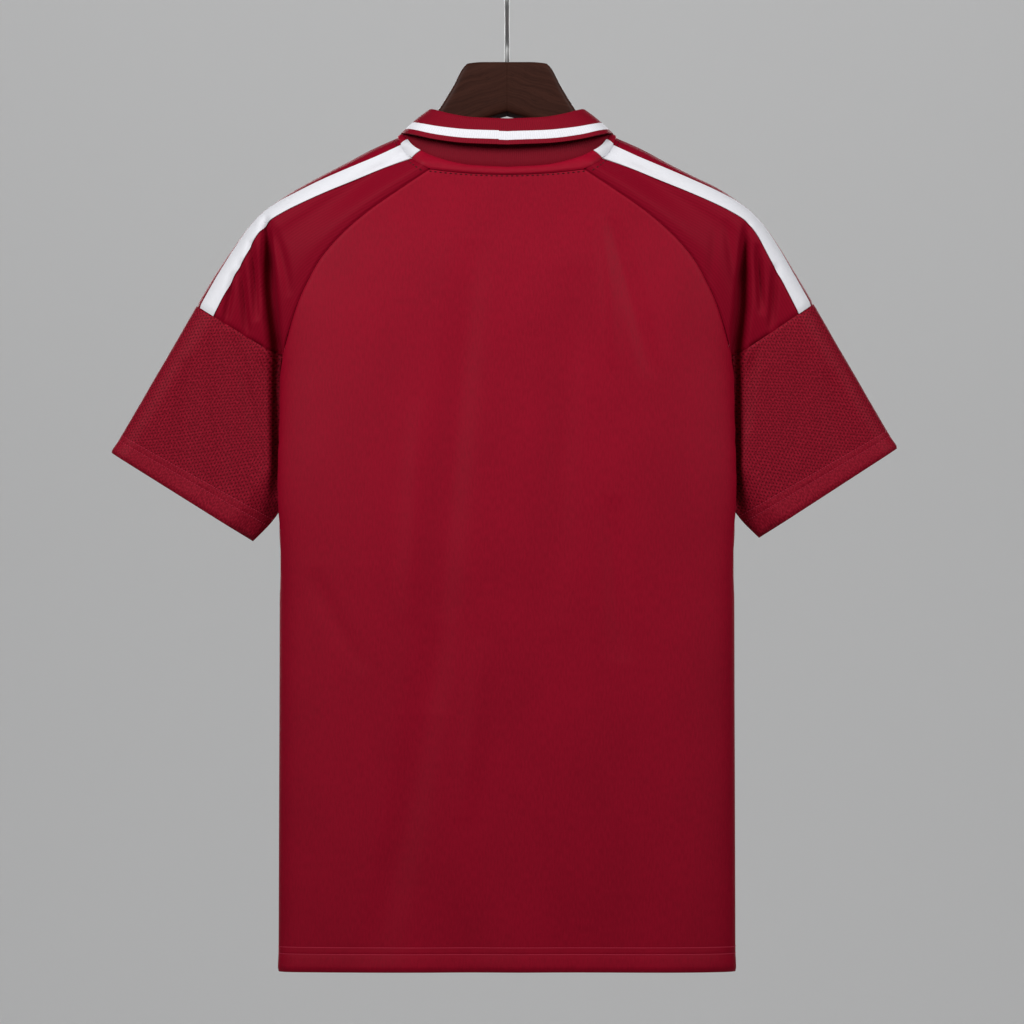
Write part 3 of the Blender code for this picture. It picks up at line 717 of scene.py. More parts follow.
def rib_ends(rib):
    """The rib's ends at the ridge and at the seam, across and up, and its length."""
    start = np.array([rib["ridge_x"], -rib["ridge_drop"]])
    end = np.array([rib["seam_x"], -rib["seam_drop"]])
    return start, end, np.linalg.norm(end - start)


def half_rib(rib, face, distances, upper=True):
    """Half a rib of a sleeve, at distances from the ridge on one face."""
    start, end, length = rib_ends(rib)
    s = np.asarray(distances, float)
    share = (s / length)[:, None]
    along = (end - start) / length
    aside = np.array([along[1], -along[0]])
    xz = start + (end - start) * share - aside * rib["bow"] * np.sin(math.pi * share)
    full = rib["full"] * np.clip(1 - s / FULL_REACH, 0, 1) ** 2
    xz -= along * full[:, None]
    crown, seam_depth = rib["crown"], rib["seam_depth"]
    depth = crown * quarter_round(s, crown)
    if upper:
        rest = np.clip((s - crown) / (length - crown) / SHOULDER_EASE, 0, 1)
        depth = depth + (seam_depth - crown) * rest**2 * (3 - 2 * rest)
    else:
        inner = 1 - (1 - np.clip((length - s) / INNER_REACH, 0, 1)) ** INNER_POWER
        depth = np.minimum(depth, seam_depth + (crown - seam_depth) * inner)
    return np.stack([xz[:, 0], forward(xz[:, 0]) + face * depth, xz[:, 1]], axis=1)


def hang(rib, end, distance):
    """Moves one end of a rib down along the sleeve."""
    rib[end + "_x"] += distance * SLEEVE_LEAN[0]
    rib[end + "_drop"] += distance * SLEEVE_LEAN[1]


def upper_rib(k, face, side=None):
    """Row k of RIBS as the rib of one face, with its seam on the body."""
    name = FACES[face]
    rib = {key: RIBS[key][k] for key in RIBS}
    seam = half_row(rib[name + "_drop"], 0, face, rib[name + "_x"])[-1]
    rib["seam_x"], rib["seam_drop"] = seam[0], -seam[2]
    rib["seam_depth"] = face * (seam[1] - forward(seam[0]))
    rib["bow"] = NECK_BOW if k == 0 else 0.0
    rib["full"] = FULLER[side][k] if side else 0.0
    if side:
        hang(rib, "ridge", JOIN_HANG[side] * (k / (len(RIBS["crown"]) - 1)) ** 2)
    return rib


def lower_rib(k, face, side):
    """Row k of CUFF_RIBS as the rib of one face, on a cuff that hangs lower."""
    rib = {key: CUFF_RIBS[key][k] for key in CUFF_RIBS}
    rib.update(bow=0.0, seam_depth=rib["inner_depth"])
    last = len(CUFF_RIBS["crown"]) - 1
    rib["full"] = FULLER[side][-2] + (FULLER[side][-1] - FULLER[side][-2]) * k / last
    hang(rib, "ridge", SLEEVE_HANG[side][0] * k / last)
    if k < UNDERARM:
        seam = half_row(rib["inner_drop"], 0, face, None, rib["inner_depth"])[-1]
        rib["seam_x"], rib["seam_drop"] = seam[0], -seam[2]
    else:
        rib["seam_x"], rib["seam_drop"] = rib["inner_x"], rib["inner_drop"]
        hang(rib, "seam", SLEEVE_HANG[side][1] * (k - UNDERARM) / (last - UNDERARM))
    return rib


# %% [markdown]
# ### Finer grids
#
# A sheet of cloth is a grid of points: its rows run from seam to seam, one
# under another. The tables give a few rows, and a smooth curve through them
# gives the rest. Rows and columns lie closer at seams, folds and stitching.

# %% Grids
CLOTH = 1.0 * MM
SEAM_GAP = 0.12 * MM  # from a panel's edge to the middle of its seam
ARMHOLE_GAP = 0.6 * MM  # from a lower sleeve to the panels
CUFF_SEAM_GAP = 0.4 * MM  # from a lower sleeve to the upper one
ROW_STEP = {"panel": 3.0 * MM, "upper": 2.5 * MM, "lower": 2.8 * MM}
LEAST_STEP = 0.3 * MM  # from one row to the next
MARK_ROWS = np.array([-1.4, -0.7, 0, 0.7, 1.4]) * MM  # round a line of stitches
SEAM_COLUMNS = np.array([2.4, 1.7, 1.1, 0.5, 0]) * MM  # from a seam
PANEL_COLUMNS = 64  # from the centre line to the first of those


def fine_rows(grid, step, marks=()):
    """The grid with rows a step apart, and closer round each mark from its last row.

    It also gives the distance of each row from the last one.
    """
    along = row_distances(grid)[0]
    total = along[-1]
    places = list(np.linspace(0, total, round(total / step) + 1))
    places += [total - mark + near for mark in marks for near in MARK_ROWS]
    places += list(SEAM_COLUMNS[:-1])
    places = np.unique(np.round(np.clip(places, 0, total), 5))
    places = places[np.concatenate([[True], np.diff(places) > LEAST_STEP])]
    places[-1] = total
    rows = smooth(places, along, grid.reshape(len(grid), -1))
    return rows.reshape(len(places), -1, 3), total - places


def normals(grid, sign):
    """The outward unit normal at each point of a grid."""
    normal = np.cross(np.gradient(grid, axis=0), np.gradient(grid, axis=1)) * sign
    return normal / np.maximum(np.linalg.norm(normal, axis=2, keepdims=True), 1e-12)


def moved_out(grid, distance, sign):
    """The grid moved along its own normals, by one distance or one for each point."""
    distance = np.broadcast_to(distance, grid.shape[:2])[:, :, None]
    return grid + normals(grid, sign) * distance


def edge_distance(grid):
    """How far each point lies from the nearer end of its row."""
    across = row_distances(grid)[1]
    return np.minimum(across, across[:, -1:] - across)


def panel_grid(face):
    """A front or back panel, seam to seam, with a row for each row of the tables."""
    name = FACES[face]
    upper = zip(RIBS[name + "_drop"], RIBS[name + "_dip"], RIBS[name + "_x"])
    rows = [half_row(drop, dip, face, seam_x) for drop, dip, seam_x in upper]
    for k in range(1, UNDERARM + 1):
        drop, depth = CUFF_RIBS["inner_drop"][k], CUFF_RIBS["inner_depth"][k]
        rows.append(half_row(drop, 0, face, None, depth))
    rows += [half_row(drop, 0, face) for drop in BODY_DROPS]
    rows.append(half_row(HEM_DROP + HEM_LOW, -HEM_LOW, face))
    grid = []
    for half in rows:
        total = lengths(half)[-1] - SEAM_GAP
        inner = np.linspace(0, total - SEAM_COLUMNS[0], PANEL_COLUMNS)[:-1]
        half = points_at(half, np.concatenate([inner, total - SEAM_COLUMNS]))
        grid.append(np.concatenate([half[:0:-1] * (-1, 1, 1), half]))
    return np.array(grid)


# %% [markdown]
# ### Folds
#
# Knit that hangs from a hanger falls in soft troughs: a few deep, short ones
# where the sleeve drops off the end of the wood, and long shallow ones down
# the body. Each is given as a line with a bow, a width and a depth.
# One field of folds moves every piece, so a fold runs on across a seam. A
# negative depth is a ridge. The two sides of the shirt differ, as they do on
# any real one.

# %% Folds
FOLD_NAMES = "from_x from_drop to_x to_drop bow width depth"
BACK_FOLDS = columns(
    FOLD_NAMES,
    (-215, 216, -196, 286, 3, 5, 3.0),
    (-231, 234, -226, 308, 1, 4, 6.6),
    (-240, 252, -234, 324, 0, 4, 5.6),
    (-246, 262, -255, 314, 0, 3.5, 4.2),
    (-247, 318, -220, 455, 3, 7, 3.4),
    (-268, 318, -256, 470, 2, 8, 2.4),
    (-289, 340, -285, 462, -4, 12, 2.8),
    (197, 216, 206, 280, 0, 5, 2.0),
    (188, 220, 183, 276, 0, 5, 1.0),
    (226, 238, 230, 302, 0, 4, 6.2),
    (242, 256, 238, 318, 0, 4, 5.0),
    (228, 326, 217, 410, -4.5, 6, 2.0),
    (289, 350, 303, 435, 0, 12, 2.2),
    (262, 335, 257, 440, 2, 9, 1.2),
    (-30, 235, -66, 660, -2, 17, 3.4),
    (-61, 580, -120, 893, 4, 18, 3.0),
    (92, 215, 130, 360, 1, 9, 2.4),
    (83, 212, 95, 352, 2, 9, -1.8),
    (94, 465, 104, 615, 0, 14, 2.4),
    (-176, 530, -128, 625, -2, 10, 1.2),
    (-78, 380, -88, 580, 0, 12, -1.7),
    (-22, 595, -38, 760, 0, 13, -1.7),
    (60, 260, 44, 580, -3, 18, 2.3),
)
FRONT_FOLDS = columns(
    FOLD_NAMES,
    (214, 218, 197, 290, -3, 5, 2.8),
    (230, 240, 226, 306, 0, 4, 2.6),
    (241, 256, 236, 318, 0, 3.5, 2.0),
    (-216, 220, -200, 280, 2, 5, 2.2),
    (-229, 244, -227, 300, 0, 4, 2.8),
    (-243, 262, -247, 312, 0, 3.5, 1.8),
    (247, 322, 224, 452, -2, 7, 3.0),
    (270, 328, 261, 462, 0, 9, 2.2),
    (-240, 328, -221, 440, 2, 7, 2.4),
    (-284, 350, -297, 445, 0, 12, 2.2),
    (64, 285, 96, 590, 3, 14, 1.9),
    (-76, 275, -58, 540, -2, 13, 1.7),
    (18, 405, 50, 790, 0, 16, 1.9),
    (-28, 415, -72, 875, -4, 18, 2.1),
    (132, 460, 117, 820, 2, 15, 1.6),
    (-137, 400, -128, 720, 0, 14, 1.5),
    (148, 290, 166, 430, 0, 9, 1.3),
    (-148, 300, -169, 425, 0, 9, 1.4),
)
# The deep valley where each sleeve drops off the end of the hanger. Its bottom
# leans towards the body, so the cloth on that side overhangs it.
VALLEY = columns(
    "drop x depth width lean",
    (205, 219, 0, 3, 0),
    (222, 218, 6, 3.5, 1),
    (240, 217, 13, 4, 2),
    (262, 216.5, 18, 5, 3),
    (282, 215.5, 18, 5.5, 3),
    (302, 213.5, 18, 5.5, 3),
    (323, 211.5, 18, 5, 4),
    (344, 209.3, 18, 5, 5),
    (385, 208, 17, 5, 5),
    (430, 207.5, 14, 5, 3.5),
    (470, 209, 0, 5, 0),
)
VALLEY_SHIFT = {1: (-2.5 * MM, 12 * MM), -1: (0, 0)}  # right and left, inwards and down
VALLEY_INNER = 1.15  # how much wider it is on the side of the body
VALLEY_POWER = 2.6  # 2 is a round bottom, more is flatter
VALLEY_FLOOR = 1.2 * MM  # the two faces stay this far from the middle plane
VALLEY_HOLD = 1.8 * MM  # the valley leaves the seam alone this near it
FOLD_SHOULDER = 0.5  # how much a trough lifts the cloth beside it
FULL_DEPTH = 12 * MM  # cloth this far from the middle plane takes its whole fold
HEM_WAVE = 1.6 * MM
WAVE_LENGTH = 118 * MM
WAVE_RISE = (660 * MM, 230 * MM)  # the drop that it starts at, and over how much it grows
WAVE_PHASE = {BACK: 0.6, FRONT: 2.4}


def fold_field(x, drop, face):
    """How far the folds press the cloth in at a place on one face."""
    table = BACK_FOLDS if face == BACK else FRONT_FOLDS
    pressed = np.zeros(np.shape(x))
    for k in range(len(table["depth"])):
        fold = {key: table[key][k] for key in table}
        run = np.array([fold["to_x"] - fold["from_x"], fold["to_drop"] - fold["from_drop"]])
        length = np.linalg.norm(run)
        run /= length
        dx, dd = x - fold["from_x"], drop - fold["from_drop"]
        share = (dx * run[0] + dd * run[1]) / length
        arch = np.clip(4 * share * (1 - share), 0, 1)
        aside = (dx * run[1] - dd * run[0] - fold["bow"] * arch) / fold["width"]
        trough = (1 - FOLD_SHOULDER * aside**2) * np.exp(-(aside**2))
        pressed += fold["depth"] * trough * arch**0.75
    low = np.clip((drop - WAVE_RISE[0]) / WAVE_RISE[1], 0, 1)
    phase = 2 * math.pi * x / WAVE_LENGTH + WAVE_PHASE[face]
    return pressed - HEM_WAVE * low**2 * np.sin(phase + 0.8 * np.sin(phase / 2))


def press_folds(grid):
    """Moves every point of a grid by the folds of the face it lies on."""
    x, y, drop = grid[:, :, 0], grid[:, :, 1], -grid[:, :, 2]
    deep = y - forward(x)
    hold = np.clip(np.abs(deep) / FULL_DEPTH, 0, 1)
    hold = hold**2 * (3 - 2 * hold)
    pressed = grid.copy()
    for face in FACES:
        there = deep * face > 0
        pressed[there, 1] -= face * (fold_field(x, drop, face) * hold)[there]
    return pressed


def press_valley(grid):
    """Presses the deep valley into both faces of a sleeve."""
    side = 1 if grid[:, :, 0].mean() > 0 else -1
    inwards, lower = VALLEY_SHIFT[side]
    x, y, drop = np.abs(grid[:, :, 0]), grid[:, :, 1], -grid[:, :, 2] - lower
    deep = y - forward(x)
    names = "x depth width lean".split()
    line, depth, width, lean = (smooth(drop, VALLEY["drop"], VALLEY[name]) for name in names)
    held = 1 - np.exp(-((edge_distance(grid) / VALLEY_HOLD) ** 2))
    line = line + inwards
    width = np.where(x < line, VALLEY_INNER * width, width)
    trough = np.exp(-(np.abs((x - line) / width) ** VALLEY_POWER)) * held
    floor_depth = np.minimum(np.abs(deep), VALLEY_FLOOR)
    kept = np.maximum(np.abs(deep) - depth * trough, floor_depth)
    pressed = grid.copy()
    pressed[:, :, 0] -= side * lean * trough
    pressed[:, :, 1] = forward(x) + np.sign(deep) * kept
    return pressed


# %% [markdown]
# ### Seams and hems
#
# At a seam both edges turn in to the allowance, so the seam is a fine ditch.
# A hem is the cloth turned up once and held by a twin needle: two stitched
# ditches with the folded edge bulging a little below them.

# %% The profile of seams and hems
SEAM_TURN = 1.0 * MM  # how far an edge turns in at its seam
SEAM_REACH = 1.3 * MM
PUCKER = 0.1 * MM
PUCKER_LENGTH = (9 * MM, 13 * MM)  # along the hem, and up it
PUCKER_DRIFT = (31 * MM, 17 * MM)  # two waves that let the puckers come and go
PUCKER_MIDDLE = 0.55  # of the height of the lower stitches
HEM = columns(
    "up out",
    (0, -0.4),
    (0.9, 0.6),
    (2.6, 1.3),
    (5.5, 1.3),
    (11, 0.75),
    (14.8, 0.3),
    (16.3, -0.05),
    (17.6, 0.15),
    (19.4, 0.2),
    (21.2, 0.12),
    (22.4, -0.1),
    (23.8, 0),
    (26, 0),
)


def hem_out(up, across):
    """How far a hem stands out, at a height above its edge, with small puckers."""
    waves = across / PUCKER_LENGTH[0] + up / PUCKER_LENGTH[1]
    drift = np.sin(across / PUCKER_DRIFT[0]) * np.sin(across / PUCKER_DRIFT[1] + 1)
    aside = np.abs(up / HEM_LINES[0] - PUCKER_MIDDLE) / PUCKER_MIDDLE
    pucker = PUCKER * np.sin(2 * math.pi * waves) * drift * np.clip(1 - aside, 0, 1)
    return smooth(up, HEM["up"], HEM["out"]) + pucker


def seam_turn(distance):
    return -SEAM_TURN * np.exp(-((distance / SEAM_REACH) ** 2))


def with_allowance(grid, sign, length, depth, last=False):
    """The grid with a row more before its first or after its last, turned inside."""
    edge, beside = (-1, -2) if last else (0, 1)
    run = grid[edge] - grid[beside]
    run /= np.linalg.norm(run, axis=1, keepdims=True)
    row = (grid[edge] + run * length - normals(grid, sign)[beside] * depth)[None]
    return np.concatenate([grid, row] if last else [row, grid])


# %% [markdown]
# ### Making a sheet
#
# Each sheet starts as Blender's own grid, with as many rows and columns as
# the piece needs. Its points then go to their places, its UV map becomes the
# flat cut, and a Solidify modifier gives the cloth its wall. The wall goes to
# the inner side, so the outside stays where the technical model has it.

# %% A sheet of cloth
JOINED_WITHIN = 0.03 * MM


def cut_map(grid, middle):
    """The flat cut: distance across from the middle column, and along the rows."""
    along, across = row_distances(grid)
    across -= across[:, middle : middle + 1]
    return across, np.broadcast_to(along[:, None], across.shape)


def grid_area(grid):
    """The area of a grid's cells, in square metres."""
    first = grid[1:, 1:] - grid[:-1, :-1]
    second = grid[1:, :-1] - grid[:-1, 1:]
    return float(np.linalg.norm(np.cross(first, second), axis=2).sum() / 2)


def surface(name, grid, cut, turned, joined=False):
    """Blender's grid with its points moved to ours, and the cut as its UV map."""
    rows, cols = grid.shape[:2]
    select()
    bpy.ops.mesh.primitive_grid_add(x_subdivisions=cols - 1, y_subdivisions=rows - 1, size=1)
    piece = named(name)
    mesh = piece.data
    start = np.empty(len(mesh.vertices) * 3)
    mesh.vertices.foreach_get("co", start)
    start = start.reshape(-1, 3) + 0.5
    column = np.rint(start[:, 0] * (cols - 1)).astype(int)
    row = np.rint(start[:, 1] * (rows - 1)).astype(int)
    mesh.vertices.foreach_set("co", grid[row, column].ravel())
    corners = np.empty(len(mesh.loops), int)
    mesh.loops.foreach_get("vertex_index", corners)
    flat = np.stack([part[row, column] for part in cut], axis=1)
    layer = mesh.uv_layers[0]
    layer.name = "cut"
    layer.data.foreach_set("uv", flat[corners].ravel())
    mesh.update()
    bpy.ops.object.mode_set(mode="EDIT")
    bpy.ops.mesh.select_all(action="SELECT")
    if joined:
        bpy.ops.mesh.remove_doubles(threshold=JOINED_WITHIN)
    if turned:
        bpy.ops.mesh.flip_normals()
    bpy.ops.object.mode_set(mode="OBJECT")
    return piece


def cloth(name, grid, cut, wall, finish, turned, offset=-1.0, joined=False):
    """A sheet with its wall and finish, riding on the technical model."""
    piece = surface(name, grid, cut, turned, joined)
    thick = piece.modifiers.new("wall", "SOLIDIFY")
    thick.thickness = wall
    thick.offset = offset
    apply_modifiers(piece)
    shade_smooth(50)
    piece.data.materials.append(finish)
    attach(piece, "root")
    print(f"{name}: {len(piece.data.polygons)} faces, {grid_area(grid):.4f} square metres")
    return piece


def declare(grid):
    """Works out the flat cut of a piece; its size is not stated or kept."""
    across, along = cut_map(grid, 0)


# %% [markdown]
# ## Back and front
#
# The back is one panel from the neck to the hem, and the front is the same
# with a lower neckline. Each curves round to a side seam. Under the arm the
# sleeve pushes the side in, which makes a tuck.

# %% Back and front panels
HEM_FADE = 14 * MM  # from a side seam to where the hem is full
NECK_ALLOWANCE = (4 * MM, 2 * MM)  # how far it runs under the binding, and how deep


def dressed_panel(face):
    """A panel with its folds, its turned seams and its hem. It also gives the flat form."""
    plain, up = fine_rows(panel_grid(face), ROW_STEP["panel"], HEM_LINES)
    folded = press_folds(plain)
    across = cut_map(plain, plain.shape[1] // 2)[0]
    to_seam = edge_distance(plain)
    out = hem_out(up[:, None], across) * np.clip(to_seam / HEM_FADE, 0, 1)
    out = out + seam_turn(to_seam) + seam_turn(up[0] - up)[:, None]
    grid = moved_out(folded, out, -face)
    grid, plain = (with_allowance(g, -face, *NECK_ALLOWANCE) for g in (grid, plain))
    return plain, grid, up


panels = {}
for face in FACES:
    plain, grid, up = dressed_panel(face)
    cut = cut_map(plain, plain.shape[1] // 2)
    name = f"{FACES[face]}_panel"
    piece = cloth(name + "_knit", grid, cut, CLOTH, body_finish, turned=face == BACK)
    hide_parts(name)
    panels[face] = {"piece": piece, "plain": plain, "grid": grid, "up": up}

# %% [markdown]
# ## Sleeves
#
# A raglan sleeve runs up to the neck. Its upper part lies over the shoulder
# from the back seam to the front seam, so one rib of it crosses the ridge. The
# lower part is a wide tube. It is open at the cuff, and from the underarm on
# its two edges meet in an underarm seam, where the mesh is joined.

# %% Grids of the sleeves
TAPE_COLUMNS = 9  # from the tape's upper edge to its lower one
REST_COLUMNS = 66  # from there to the seam
LOWER_COLUMNS = 80
RIDGE_COLUMNS = 2


def upper_distances(k, length):
    """The columns of rib k: over the ridge, under the tape and on to the seam."""
    start, stop = RIBS["tape_from"][k], RIBS["tape_to"][k]
    ridge = np.linspace(0, start, RIDGE_COLUMNS + 1)[:-1]
    under_tape = np.linspace(start, stop, TAPE_COLUMNS)
    rest = np.linspace(stop, length - SEAM_COLUMNS[0], REST_COLUMNS)[1:-1]
    return np.concatenate([ridge, under_tape, rest, length - SEAM_COLUMNS])


def upper_sleeve_grid(side):
    ribs = []
    for k in range(len(RIBS["crown"])):
        halves = []
        for face in FACES:
            rib = upper_rib(k, face, side)
            length = rib_ends(rib)[2] - SEAM_GAP
            halves.append(half_rib(rib, face, upper_distances(k, length)))
        ribs.append(np.concatenate([halves[0][::-1], halves[1][1:]]))
    return np.array(ribs)


def lower_sleeve_grid(side):
    """The ribs of a lower sleeve, from its join to the upper one down to the cuff."""
    spread = (1 - np.cos(np.linspace(0, math.pi, LOWER_COLUMNS))) / 2
    ribs = []
    for k in range(len(CUFF_RIBS["crown"])):
        halves = []
        for face in FACES:
            last = len(RIBS["crown"]) - 1
            rib = lower_rib(k, face, side) if k else upper_rib(last, face, side)
            if k >= UNDERARM:
                rib["seam_depth"] = 0.0
            length = rib_ends(rib)[2] - ARMHOLE_GAP * (0 < k < UNDERARM)
            halves.append(half_rib(rib, face, spread * length, upper=False))
        ribs.append(np.concatenate([halves[0][::-1], halves[1][1:]]))
    ribs = np.array(ribs)
    step = ribs[1] - ribs[0]
    ribs[0] += step * CUFF_SEAM_GAP / np.linalg.norm(step, axis=1, keepdims=True)
    return ribs


# %% [markdown]
# A column that lies on the ridge is where the tape's distances start. The seam
# to the body turns in on both pieces, and so does the join between the two
# parts of the sleeve, just below the end of the tape.

# %% Upper sleeves
JOIN_ALLOWANCE = (2.5 * MM, 1.2 * MM)
CALM = (11 * MM, 13 * MM)  # half the width without folds, and from there to full folds
LEAST_FOLD = 0.03  # of a fold that is left on the ridge
RIDGE = REST_COLUMNS + len(SEAM_COLUMNS) + TAPE_COLUMNS + RIDGE_COLUMNS - 3
uppers = {}
for side, sign in SIDES.items():
    plain, to_join = fine_rows(upper_sleeve_grid(side) * (sign, 1, 1), ROW_STEP["upper"])
    out = seam_turn(edge_distance(plain)) + seam_turn(to_join)[:, None]
    across = cut_map(plain, RIDGE)[0]
    share = np.clip((np.abs(across) - CALM[0]) / CALM[1], LEAST_FOLD, 1)[:, :, None]
    folded = plain + (press_folds(press_valley(plain)) - plain) * share
    grid = moved_out(folded, out, sign)
    for last, allowance in ((False, NECK_ALLOWANCE), (True, JOIN_ALLOWANCE)):
        grid, plain = (with_allowance(g, sign, *allowance, last) for g in (grid, plain))
    across, along = cut_map(plain, RIDGE)
    name, cut = f"sleeve_upper_{side}_knit", (along, across)
    piece = cloth(name, grid, cut, CLOTH, shoulder_finish, sign > 0)
    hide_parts(f"sleeve_upper_{side}")
    uppers[side] = {"piece": piece, "plain": plain, "grid": grid, "to_join": to_join}
print("ridge column", RIDGE, "of", plain.shape[1])

# %% Lower sleeves
CUFF_FADE = 5 * MM  # from a fold or seam to where the hem is full
LEAST_HEM = 0.1  # of the hem that is left on a fold

lowers = {}
for side, sign in SIDES.items():
    ribs = lower_sleeve_grid(side) * (sign, 1, 1)
    plain, up = fine_rows(ribs, ROW_STEP["lower"], HEM_LINES)
    across, along = cut_map(plain, LOWER_COLUMNS - 1)
    out = hem_out(up[:, None], across) + seam_turn(up[0] - up)[:, None]
    to_fold = np.minimum(edge_distance(plain), np.abs(across))
    out *= np.clip(to_fold / CUFF_FADE, LEAST_HEM, 1)
    grid = moved_out(press_folds(press_valley(plain)), out, sign)
    name, cut = f"sleeve_lower_{side}_knit", (along[-1:] - along, across)
    piece = cloth(name, grid, cut, CLOTH, sleeve_finish, sign > 0, joined=True)
    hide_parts(f"sleeve_lower_{side}")
    lowers[side] = {"piece": piece, "plain": plain, "grid": grid, "up": up}

# %% [markdown]
# ## Shoulder tape
#
# A woven tape is sewn along each shoulder, behind the ridge, from the neck
# binding to the join of the sleeve. It is made from the sleeve's own points,
# moved out, so it follows every fold under it. A short piece carries it across
# the neck binding.

# %% Shoulder tapes
TAPE_WALL = 0.8 * MM
LAID_GAP = 0.35 * MM
TAPE_CUT = 1.0 * MM  # the tape stops this far from the binding


def cut_back(grid, distance):
    """The grid with its first row moved towards its second."""
    step = grid[1] - grid[0]
    cut = grid.copy()
    cut[0] += step * distance / np.linalg.norm(step, axis=1, keepdims=True)
    return cut


tapes = {}
for side, sign in SIDES.items():
    first = RIDGE - RIDGE_COLUMNS - TAPE_COLUMNS + 1
    under = uppers[side]["grid"]
    laid = moved_out(under, LAID_GAP, sign)[:, first : first + TAPE_COLUMNS]
    laid = cut_back(laid[1:-1], TAPE_CUT)
    name, cut = f"shoulder_tape_{side}_weave", cut_map(laid, TAPE_COLUMNS // 2)
    piece = cloth(name, laid, cut, TAPE_WALL, tape_finish, sign > 0, offset=1.0)
    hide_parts(f"shoulder_tape_{side}")
    tapes[side] = {"piece": piece, "grid": laid}

# %% [markdown]
# ## Neck binding
#
# A strip of the body's knit covers the neck seam, rolled over the raw edges,
# so it stands out as a soft bead below the collar. It is one closed loop. Its
# lower edge laps a little over the panels, and its upper edge meets the seam
# of the collar. Where the shoulder tape comes up, a white piece covers it.

# %% Lines of the neck
LAST_STATION = 10
ASIDE = 0.2  # of a station, to either side of one whose tangent is taken
STATIONS = np.linspace(0, LAST_STATION, 101)
FRONT_PLACES = (12 * MM, 38 * MM)  # two stations on the front rib, from its ridge


def neckline(station):
    """A point of the neckline, where the binding meets the panels."""
    back, front = upper_rib(0, BACK), upper_rib(0, FRONT)
    if station < 2 or station > LAST_STATION - 2:
        face = BACK if station < 2 else FRONT
        rib = back if face == BACK else front
        dip = RIBS[FACES[face] + "_dip"][0]
        row = half_row(rib["seam_drop"], dip, face, rib["seam_x"])
        share = (station if face == BACK else LAST_STATION - station) / 2
        across = share * rib["seam_x"]
        return np.array([np.interp(across, row[:, 0], row[:, k]) for k in range(3)])
    if station <= 5:
        places = [rib_ends(back)[2], back["tape_to"], back["tape_from"], 0]
        return half_rib(back, BACK, [np.interp(station, [2, 3, 4, 5], places)])[0]
    places = [0, *FRONT_PLACES, rib_ends(front)[2]]
    return half_rib(front, FRONT, [np.interp(station, [5, 6, 7, 8], places)])[0]


def neck_point(name, station):
    """A point of one of the NECK table's three lines."""
    rows = np.arange(len(NECK["seam_x"]))
    x, y, drop = (smooth(station, rows, NECK[f"{name}_{k}"]) for k in ("x", "y", "drop"))
    return np.array([x, y, -drop])


def unit(vector):
    return vector / np.linalg.norm(vector)


def neck_tangent(name, station):
    """The way that one of the three lines runs at a station."""
    ahead, behind = min(station + ASIDE, LAST_STATION), max(station - ASIDE, 0)
    return neck_point(name, ahead) - neck_point(name, behind)


def whole_loop(section, stations):
    """Sections at all stations, and back again on the other side to the first."""
    half = np.array([section(station) for station in stations])
    return np.concatenate([half, half[-2::-1] * (-1, 1, 1)])


# %% Neck binding
BINDING_WALL = 1.0 * MM
BINDING_ROLL = 1.7 * MM  # how far its middle stands out
BINDING_LAP = 0.9 * MM  # how far its lower edge lies over the panels
BINDING_PROUD = 0.6 * MM  # how far out it starts there
BINDING_POINTS = 11
EDGE_TURN = 0.5 * MM  # how far both its edges turn in


def binding_section(station):
    """The binding across, from the panels to the neck seam."""
    low, high = neckline(station), neck_point("seam", station)
    across = unit(high - low)
    out = unit(np.cross(neck_tangent("seam", station), across))
    low, high = low - across * BINDING_LAP + out * BINDING_PROUD, high - across * SEAM_GAP
    share = np.linspace(0, 1, BINDING_POINTS)[:, None]
    swell = np.sqrt(np.sin(math.pi * np.clip(share, 0, 1))) * BINDING_ROLL
    swell[[0, -1]] = -EDGE_TURN
    return low + (high - low) * share + out * swell


loop = whole_loop(binding_section, STATIONS)
across, along = cut_map(loop, 0)
cut = (across, along)
binding = cloth("neck_binding_knit", loop, cut, BINDING_WALL, body_finish, True, joined=True)
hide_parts("neck_binding")

# %% Tape over the binding
PATCH_STATIONS = np.linspace(3, 4, 13)
PATCH_WALL = 0.7 * MM

for side, sign in SIDES.items():
    patch = np.array([binding_section(station) for station in PATCH_STATIONS])
    patch = moved_out(patch, LAID_GAP, 1)[:, 1:-1] * (sign, 1, 1)
    name, cut = f"binding_patch_{side}_weave", cut_map(patch, 0)[::-1]
    piece = cloth(name, patch, cut, PATCH_WALL, tape_finish, sign > 0, offset=1.0)
    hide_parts(f"binding_patch_{side}")

# %% [markdown]
# ## Collar
#
# A polo collar is flat-knitted to shape and sewn on whole. It stands up from
# the neck seam, rolls over and falls outwards, so the seam is covered. Its two
# ends stand apart at the front. The UV map measures from its free edge, which
# is where the knitted stripe starts.

# %% Collar
COLLAR_WALL = 1.5 * MM
COLLAR_GAP = 0.42 * MM
COLLAR_TUCK = (1.8 * MM, 1.7 * MM)  # how far it runs down behind the binding
FOLD_RADIUS = 2.4 * MM
STAND_POINTS = 9
FOLD_POINTS = 9
LEAF_POINTS = 22
LEAF_BELLY = 0.9 * MM  # how far the leaf bows out
LEAF_WAVE = 0.5 * MM
WAVE_TURN = (2.3, 0.7)  # the wave's turn for each station, and where it starts
JOIN_ASIDE = 7 * MM  # from the middle of the collar to the join in its stripe


